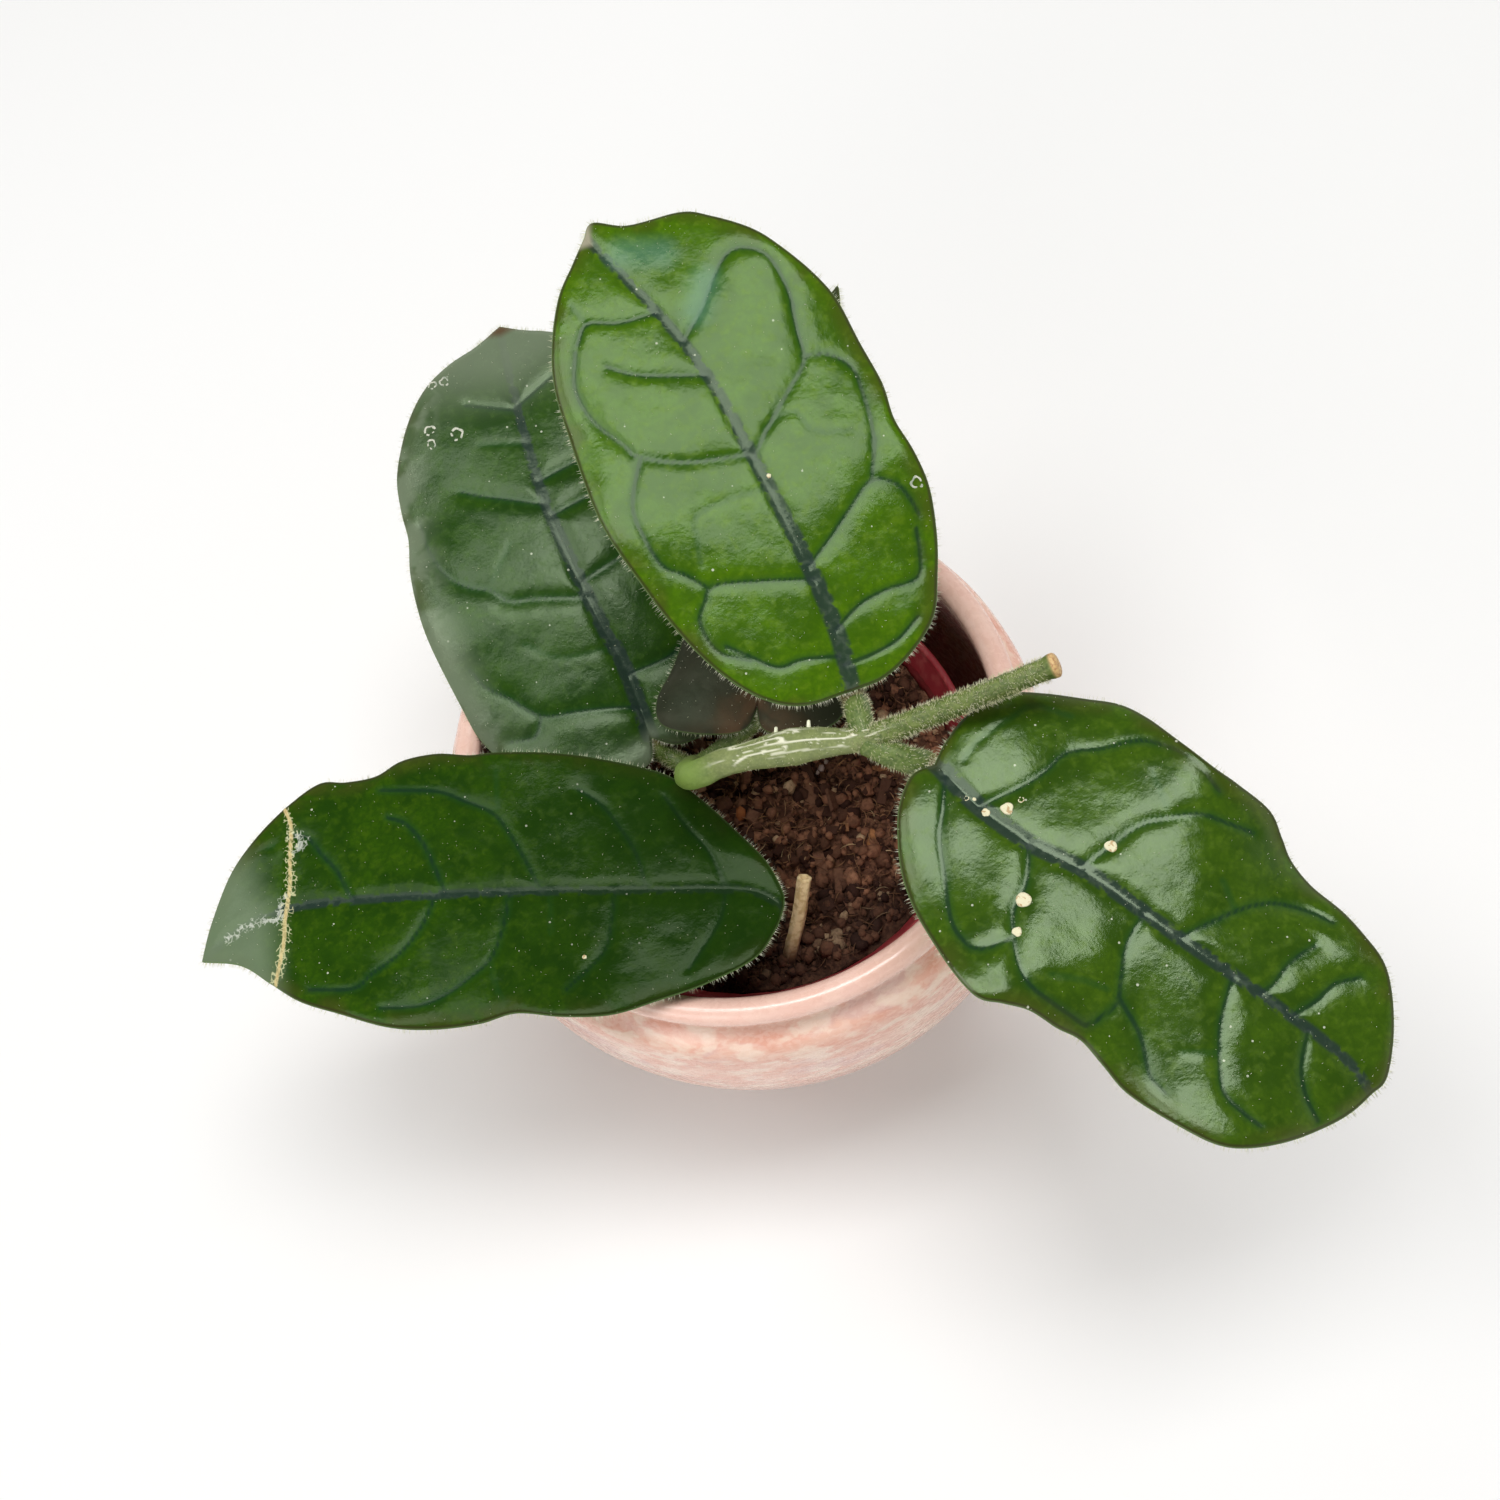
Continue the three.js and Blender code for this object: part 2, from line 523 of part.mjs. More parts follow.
const stubOutside = toSolid(stalk(DRY_STUB.points, DRY_STUB.radii, DRY_STUB.sides, DRY_STUB.steps));
const stubRoom = stalk(DRY_STUB.points, DRY_STUB.radii, DRY_STUB.sides, DRY_STUB.steps, GAP);
const stubMouth = new THREE.Vector3(...DRY_STUB.points.at(-1));
const stubDirection = stubMouth.clone().sub(new THREE.Vector3(...DRY_STUB.points.at(-2))).normalize();
const stubBore = stalk(
  [
    stubMouth.clone().addScaledVector(stubDirection, -DRY_STUB.boreDepth).toArray(),
    stubMouth.clone().addScaledVector(stubDirection, 1).toArray(),
  ],
  [DRY_STUB.boreRadius, DRY_STUB.boreRadius], 6, 1,
);

const cuttingSeat = fromLeaf(LEAVES.leaf_c, CUTTING_STALK.seatInset, -2.2, -CUTTING_STALK.seatDepth);
const cuttingPoints = [...CUTTING_STALK.points, cuttingSeat];
const cuttingStalk = stalk(cuttingPoints, CUTTING_STALK.radii, STALK_SIDES, 12);
const cuttingRoom = stalk(cuttingPoints, CUTTING_STALK.radii, STALK_SIDES, 12, GAP);

add("ceramic_pot", ceramicPot(), "glaze");
add("nursery_pot", nurseryPot(), "plastic");
add("soil", soil([mainStemRoom, stubRoom, cuttingRoom]), "soil");
add("main_stem", mainStem, "stem");
add("dry_stub", toGeometry(stubOutside.subtract(toSolid(stubBore))), "dry");
add("petiole_c", cuttingStalk, "stem");
for (const [name, shape] of Object.entries(LEAF_STALKS)) {
  add(name, leafStalk(shape, mainStemRoom), "stem");
}
for (const [name, leaf] of Object.entries(LEAVES)) {
  placeLeaf(add(name, leafBlade(leaf), "blade"), leaf);
}

export default plant;
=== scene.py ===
# %% [markdown]
# # A potted hoya villosa
# A young climbing plant with thick, quilted, hairy leaves stands in a plastic nursery pot,
# and the nursery pot stands in a glazed ceramic pot. The packed CAD model is the frame:
# it gives every piece its place and its size. This script dresses it piece by piece. Each
# new piece is a surface worked out with numpy from a few named measures in millimetres.

# %% Load the frame
import math

import bpy
import numpy as np
from mathutils import Matrix


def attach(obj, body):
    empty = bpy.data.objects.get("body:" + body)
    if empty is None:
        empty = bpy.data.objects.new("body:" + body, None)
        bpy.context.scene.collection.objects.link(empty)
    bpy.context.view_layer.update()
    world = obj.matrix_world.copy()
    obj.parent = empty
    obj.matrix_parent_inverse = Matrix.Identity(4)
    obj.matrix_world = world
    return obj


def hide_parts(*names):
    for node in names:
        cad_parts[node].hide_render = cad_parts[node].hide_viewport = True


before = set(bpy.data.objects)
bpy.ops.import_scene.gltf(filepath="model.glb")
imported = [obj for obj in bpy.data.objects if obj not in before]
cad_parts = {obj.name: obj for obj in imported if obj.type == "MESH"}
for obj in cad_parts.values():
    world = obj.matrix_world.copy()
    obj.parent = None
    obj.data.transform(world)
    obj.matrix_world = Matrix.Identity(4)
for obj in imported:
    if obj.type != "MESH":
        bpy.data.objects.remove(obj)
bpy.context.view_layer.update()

# %% [markdown]
# ## Helpers for meshes
# Every piece is a set of points and faces. The points are worked out in millimetres and
# go into the mesh in metres, in one step, with foreach_set. Fields such as the distance
# to the nearest vein are kept on the points as attributes, so that a material can draw
# a crisp vein at any width, whatever the size of the mesh's faces.

# %% Mesh helpers
MM = 0.001
DENSE_PLACES = 1200


def fill_mesh(mesh, points, face_sets):
    """Puts points (in mm) and faces into an empty mesh.

    face_sets is a list of whole arrays, each with one row of corner numbers per face.
    """
    corners = np.concatenate([faces.ravel() for faces in face_sets])
    sizes = np.concatenate([np.full(len(faces), faces.shape[1]) for faces in face_sets])
    mesh.vertices.add(len(points))
    mesh.vertices.foreach_set("co", (points * MM).astype(np.float32).ravel())
    mesh.loops.add(len(corners))
    mesh.loops.foreach_set("vertex_index", corners.astype(np.int32))
    mesh.polygons.add(len(sizes))
    mesh.polygons.foreach_set("loop_start", np.r_[0, np.cumsum(sizes)[:-1]].astype(np.int32))
    mesh.update(calc_edges=True)


def new_piece(name, points, face_sets, material, replaced=(), fields=None, smooth=True):
    """Makes a finished piece: a mesh with its fields and material, riding on the root."""
    mesh = bpy.data.meshes.new(name)
    fill_mesh(mesh, points, face_sets)
    if smooth:
        mesh.shade_smooth()
    else:
        mesh.shade_flat()
    for field, values in (fields or {}).items():
        is_vector = values.ndim == 2
        kind = "FLOAT_VECTOR" if is_vector else "FLOAT"
        attribute = mesh.attributes.new(field, kind, "POINT")
        attribute.data.foreach_set("vector" if is_vector else "value", values.astype(np.float32).ravel())
    piece = bpy.data.objects.new(name, mesh)
    bpy.context.scene.collection.objects.link(piece)
    mesh.materials.append(material)
    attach(piece, "root")
    if replaced:
        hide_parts(*replaced)
    print(f"{name}: {len(mesh.vertices)} points, {len(mesh.polygons)} faces")


def smooth_line(points, shares):
    """Points on a smooth line through the given ones, at shares (0 to 1) of its length.

    Each stretch is a cubic whose slope at a given point is half the way from the point
    before to the point after (Catmull-Rom). A dense row of places on it is measured, and
    the places at even length are read off between them.
    """
    knots = np.asarray(points, float)
    knots = np.vstack([2 * knots[0] - knots[1], knots, 2 * knots[-1] - knots[-2]])
    place = np.linspace(0, len(knots) - 3, DENSE_PLACES)
    start = np.minimum(place.astype(int), len(knots) - 4)
    t = (place - start)[:, None]
    before, here, there, after = (knots[start + step] for step in range(4))
    leave = (there - before) / 2
    arrive = (after - here) / 2
    dense = (here + leave * t + (3 * (there - here) - 2 * leave - arrive) * t**2
             + (2 * (here - there) + leave + arrive) * t**3)
    length = np.r_[0, np.cumsum(np.linalg.norm(np.diff(dense, axis=0), axis=1))]
    wanted = np.asarray(shares) * length[-1]
    return np.stack([np.interp(wanted, length, column) for column in dense.T], axis=-1)


def distance_to(line, x, y):
    """The least distance from each place (x, y) to a line made of straight runs."""
    start = line[:-1]
    run = np.diff(line, axis=0)
    away_x = x[..., None] - start[:, 0]
    away_y = y[..., None] - start[:, 1]
    share = np.clip((away_x * run[:, 0] + away_y * run[:, 1]) / (run**2).sum(axis=1), 0, 1)
    return np.hypot(away_x - share * run[:, 0], away_y - share * run[:, 1]).min(axis=-1)


def nearest_of(lines, x, y):
    """The least distance from each place to any of several smooth lines."""
    shares = np.linspace(0, 1, 24)
    return np.min([distance_to(smooth_line(line, shares), x, y) for line in lines], axis=0)


def unit(vectors):
    """Each vector divided by its own length."""
    return vectors / np.linalg.norm(vectors, axis=-1, keepdims=True)


def soft_noise(x, y, scale, seed):
    """Smooth random heights from -1 to 1: random values on a square lattice of that
    scale, blended between its corners with an S-shaped share."""
    lattice = np.random.default_rng(seed).uniform(-1, 1, (97, 97))
    u = x / scale + 40.0
    v = y / scale + 40.0
    column = np.floor(u).astype(int)
    row = np.floor(v).astype(int)
    s = u - column
    t = v - row
    s = s * s * (3 - 2 * s)
    t = t * t * (3 - 2 * t)
    column %= 96
    row %= 96
    low = lattice[row, column] * (1 - s) + lattice[row, column + 1] * s
    high = lattice[row + 1, column] * (1 - s) + lattice[row + 1, column + 1] * s
    return low * (1 - t) + high * t


bow = smooth_line([(0, 0), (10, 4), (20, 0)], [0, 0.25, 0.5])
print("a bow of three points, at its start, its quarter and its middle:", np.round(bow, 2).tolist())

# %% [markdown]
# ## Helpers for finishes
# A finish is a material whose colour, roughness and relief all come from nodes. Nodes are
# mostly linked by hand in the editor. In a script the same few links come back in every
# finish, so one small class gives them short names: add, mix, ramp, bump and group.

# %% Wiring helpers


class Wiring:
    """Short ways to add nodes to a node tree. A value may be a number or a socket."""

    def __init__(self, tree):
        self.tree = tree

    def add(self, kind, inputs=None, **settings):
        """A new node with its settings, and with values or links on its inputs."""
        node = self.tree.nodes.new("ShaderNode" + kind)
        for name, value in settings.items():
            setattr(node, name, value)
        for socket, value in (inputs or {}).items():
            self.feed(node.inputs[socket], value)
        return node

    def feed(self, socket, value):
        """A link where the value is a socket, and else a plain value on the socket."""
        if isinstance(value, bpy.types.NodeSocket):
            self.tree.links.new(value, socket)
        elif socket.type == "RGBA":
            socket.default_value = (*value, 1)
        else:
            socket.default_value = value

    def place(self):
        """The place in the object's own coordinates, in metres."""
        return self.add("TexCoord").outputs["Object"]

    def field(self, name):
        """A field that is kept on the points."""
        return self.add("Attribute", attribute_name=name).outputs["Fac"]

    def math(self, operation, a, b):
        """One sum, product or comparison of two values."""
        return self.add("Math", {0: a, 1: b}, operation=operation).outputs[0]

    def ramp(self, value, low, high, start=0.0, end=1.0):
        """An S-shaped passage from start to end, while the value goes from low to high."""
        limits = {"Value": value, "From Min": low, "From Max": high, "To Min": start, "To Max": end}
        return self.add("MapRange", limits, interpolation_type="SMOOTHSTEP").outputs[0]

    def mix(self, share, a, b):
        """Colour a where share is 0, and colour b where it is 1."""
        node = self.add("Mix", data_type="RGBA")
        self.feed(node.inputs[0], share)
        self.feed(node.inputs[6], a)
        self.feed(node.inputs[7], b)
        return node.outputs[2]

    def bump(self, height, distance, normal=None):
        """distance is in millimetres, for a height that goes from 0 to 1."""
        node = self.add("Bump", {"Height": height, "Distance": distance * MM})
        if normal:
            self.feed(node.inputs["Normal"], normal)
        return node.outputs["Normal"]

    def group(self, tree, **inputs):
        """A shared group with this material's own values."""
        node = self.add("Group", node_tree=tree)
        for name, value in inputs.items():
            self.feed(node.inputs[name], value)
        return node.outputs[0]


class Finish(Wiring):
    """A material with one Principled shader, whose plain numbers are set on its sockets."""

    def __init__(self, name, **sockets):
        self.material = bpy.data.materials.new(name)
        self.material.use_nodes = True
        super().__init__(self.material.node_tree)
        self.shader = self.tree.nodes["Principled BSDF"]
        self.set(**sockets)

    def set(self, **sockets):
        """Values or links on the shader, by short names."""
        names = {"colour": "Base Color", "roughness": "Roughness", "specular": "Specular IOR Level",
                 "coat": "Coat Weight", "coat_roughness": "Coat Roughness", "normal": "Normal",
                 "tint": "Specular Tint"}
        for name, value in sockets.items():
            self.feed(self.shader.inputs[names[name]], value)
        return self.material


print("helpers:", [name for name in vars(Wiring) if not name.startswith("_")])

# %% [markdown]
# ## Shared node groups
# Leaves, glaze and soil have soft patches, small specks, a net of fine cells or a fine grain, each at its
# own size. Nodes could be copied into every material. A node group is built once instead, and every finish
# places it with its own limits. One group draws a line along a distance field, and one paints shade on the
# soil at the front of the pot.

# %% Shared node groups


def shared_group(name, inputs, output):
    """An empty node group with float inputs, or a Vector one, and with one float output."""
    tree = bpy.data.node_groups.new(name, "ShaderNodeTree")
    for socket, value in inputs.items():
        kind = "NodeSocketVector" if socket == "Vector" else "NodeSocketFloat"
        made = tree.interface.new_socket(socket, in_out="INPUT", socket_type=kind)
        if value is not None:
            made.default_value = value
    tree.interface.new_socket(output, in_out="OUTPUT", socket_type="NodeSocketFloat")
    return tree, Wiring(tree), tree.nodes.new("NodeGroupInput").outputs


def close_group(tree, value):
    """Sends a value to the group's output."""
    tree.links.new(value, tree.nodes.new("NodeGroupOutput").inputs[0])


patch_inputs = {"Vector": None, "Size": 5, "Low": 0.4, "High": 0.6}
PATCHES, w, given = shared_group("soft_patches", patch_inputs, "Mask")
scale = w.math("DIVIDE", 1000.0, given["Size"])
cloud = w.add("TexNoise", {"Vector": given["Vector"], "Scale": scale, "Detail": 3.0, "Distortion": 0.4})
close_group(PATCHES, w.ramp(cloud.outputs["Fac"], given["Low"], given["High"]))

LINE, w, given = shared_group("line_on_distance", {"Distance": 0, "Width": 1, "Softness": 0.5}, "Mask")
outside = w.math("ADD", given["Width"], given["Softness"])
close_group(LINE, w.ramp(given["Distance"], given["Width"], outside, 1.0, 0.0))

SPECKS, w, given = shared_group("small_specks", {"Vector": None, "Spacing": 5, "Size": 0.2}, "Mask")
scale = w.math("DIVIDE", 1000.0, given["Spacing"])
cells = w.add("TexVoronoi", {"Vector": given["Vector"], "Scale": scale})
luck = w.add("SeparateColor", {"Color": cells.outputs["Color"]}).outputs["Red"]
reach = w.math("MULTIPLY", w.math("DIVIDE", given["Size"], given["Spacing"]), luck)
close_group(SPECKS, w.math("LESS_THAN", cells.outputs["Distance"], reach))

NET, w, given = shared_group("cell_network", {"Vector": None, "Size": 4, "Width": 0.1}, "Mask")
bend = w.add("TexNoise", {"Vector": given["Vector"], "Scale": 300.0, "Detail": 1.0})
shift = w.add("VectorMath", {0: bend.outputs["Color"], "Scale": 0.0016}, operation="SCALE")
bent = w.add("VectorMath", {0: given["Vector"], 1: shift.outputs[0]}, operation="ADD")
scale = w.math("DIVIDE", 1000.0, given["Size"])
cells = w.add("TexVoronoi", {"Vector": bent.outputs[0], "Scale": scale}, feature="DISTANCE_TO_EDGE")
close_group(NET, w.ramp(cells.outputs["Distance"], 0.0, given["Width"], 1.0, 0.0))

GRAIN, w, given = shared_group("fine_grain", {"Vector": None, "Size": 1}, "Height")
scale = w.math("DIVIDE", 1000.0, given["Size"])
coarse = w.add("TexNoise", {"Vector": given["Vector"], "Scale": scale, "Detail": 4.0, "Roughness": 0.55})
close_group(GRAIN, coarse.outputs["Fac"])

# Painted shade: the soil grows darker towards the front of the pot.
FRONT_SHADE, w, given = shared_group("painted_front_shade", {"Vector": None}, "Mask")
front = w.add("SeparateXYZ", {"Vector": given["Vector"]}).outputs["Y"]
cloud = w.add("TexNoise", {"Vector": given["Vector"], "Scale": 90.0, "Detail": 2.0})
shade_edge = w.math("ADD", front, w.ramp(cloud.outputs["Fac"], 0.3, 0.7, -0.006, 0.006))
close_group(FRONT_SHADE, w.ramp(shade_edge, -0.026, -0.044, 0.0, 0.7))
print("shared groups:", [group.name for group in bpy.data.node_groups])

# %% [markdown]
# ## Camera
# The photograph looks down at the plant from about 65 degrees above the level, with the
# camera rolled by 18 degrees. A camera can be turned by three angles, but a roll is hard
# to set that way. So its own three axes are worked out here, and they are the columns of
# its matrix.

# %% Camera
scene = bpy.context.scene
CAMERA_TARGET = np.array([3.0, -3.8, 112.0])
CAMERA_DISTANCE = 410.0
CAMERA_ELEVATION = math.radians(65.5)
CAMERA_ROLL = math.radians(-17.8)
CAMERA_FIELD = math.radians(45)

backward = np.array([0, -math.cos(CAMERA_ELEVATION), math.sin(CAMERA_ELEVATION)])
level = np.array([1.0, 0, 0])
upward = np.cross(backward, level)
image_right = math.cos(CAMERA_ROLL) * level + math.sin(CAMERA_ROLL) * upward
image_up = math.cos(CAMERA_ROLL) * upward - math.sin(CAMERA_ROLL) * level
camera_data = bpy.data.cameras.new("camera")
camera_data.sensor_fit = "HORIZONTAL"
camera_data.angle = CAMERA_FIELD
camera_data.clip_start = 0.01
camera = bpy.data.objects.new("camera", camera_data)
scene.collection.objects.link(camera)
camera_place = (CAMERA_TARGET + backward * CAMERA_DISTANCE) * MM
camera_matrix = np.eye(4)
camera_matrix[:3, :] = np.stack([image_right, image_up, backward, camera_place], axis=1)
camera.matrix_world = Matrix(camera_matrix.tolist())
scene.camera = camera
print("camera at", np.round(camera_place, 4))

# %% [markdown]
# ## Floor and room
# The plant stands on a plain, pale floor. A glossy leaf shows the whole room, so the room
# matters as much as the lamps: it has pale walls, a dim ceiling and a soft grey horizon
# that the floor runs into. Under the dim ceiling the leaves keep their own deep colour.

# %% Floor and room
scene.view_settings.view_transform = "Standard"
FLOOR_HALF = 8.0

floor_mesh = bpy.data.meshes.new("floor")
floor_corners = np.array([[-1, -1, 0], [1, -1, 0], [1, 1, 0], [-1, 1, 0]]) * FLOOR_HALF / MM
fill_mesh(floor_mesh, floor_corners, [np.array([[0, 1, 2, 3]])])
floor = bpy.data.objects.new("floor", floor_mesh)
scene.collection.objects.link(floor)
floor_paint = Finish("floor_paint", roughness=0.9)
floor_cloud = floor_paint.group(PATCHES, Vector=floor_paint.place(), Size=900, Low=0.2, High=0.8)
floor_colour = floor_paint.mix(floor_cloud, (0.88, 0.88, 0.87), (0.9, 0.9, 0.9))
floor_mesh.materials.append(floor_paint.set(colour=floor_colour))

world = bpy.data.worlds.new("studio")
world.use_nodes = True
room = Wiring(world.node_tree)
way_up = room.add("SeparateXYZ", {"Vector": room.add("TexCoord").outputs["Generated"]}).outputs["Z"]
ceiling = room.ramp(way_up, 0.35, 0.8, 1.1, 0.06)
horizon = room.ramp(way_up, 0.0, 0.35, 0.36, 1.0)
background = world.node_tree.nodes["Background"].inputs
room.feed(background["Strength"], room.math("MULTIPLY", ceiling, horizon))
room.feed(background["Color"], (1.0, 0.99, 0.97))
scene.world = world
print("floor and room:", floor.name, world.name)

# %% [markdown]
# ## Lamps
# The leaves show a large soft light as a pale sheen with soft edges. A point lamp would
# leave hard glints. The key box hangs above the plant, a taller box on the left gives the
# sheen there, and a weak one fills the front of the pot.

# %% Lamps


def soft_box(name, place, aim, size, radiance):
    """A rectangular area light, in metres, that looks from place to aim.

    Its power is worked out from how bright its face looks: power = pi x area x radiance.
    """
    light = bpy.data.lights.new(name, "AREA")
    light.shape = "RECTANGLE"
    light.size, light.size_y = size
    light.energy = math.pi * size[0] * size[1] * radiance
    lamp = bpy.data.objects.new(name, light)
    away = np.array(place, float) - np.array(aim, float)
    away /= np.linalg.norm(away)
    side = np.cross([0, 1, 0], away)
    side /= np.linalg.norm(side)
    matrix = np.eye(4)
    matrix[:3, :] = np.stack([side, np.cross(away, side), away, place], axis=1)
    lamp.matrix_world = Matrix(matrix.tolist())
    scene.collection.objects.link(lamp)


soft_box("key", (0.18, 0.085, 1.5), (0.02, 0.03, 0.165), (0.80, 0.44), 10.5)
soft_box("left", (-0.50, 0.08, 1.45), (0.0, 0.03, 0.13), (0.48, 0.60), 6.5)
soft_box("fill", (-0.8, -1.0, 0.95), (0.0, 0.0, 0.1), (0.8, 0.5), 2.4)
print("lamps:", [light.name for light in bpy.data.lights])

# %% [markdown]
# ## Leaf measures
# A leaf of this plant is thick and stiff, with a bent midrib and a wavy outline. Its form
# could be drawn with curves in the viewport. Here each leaf is a few named points, read
# off the photograph: x runs from the base to the tip and y to the left of it. They are
# the curves that give the CAD blade its outline and its veins, with faint veins added.

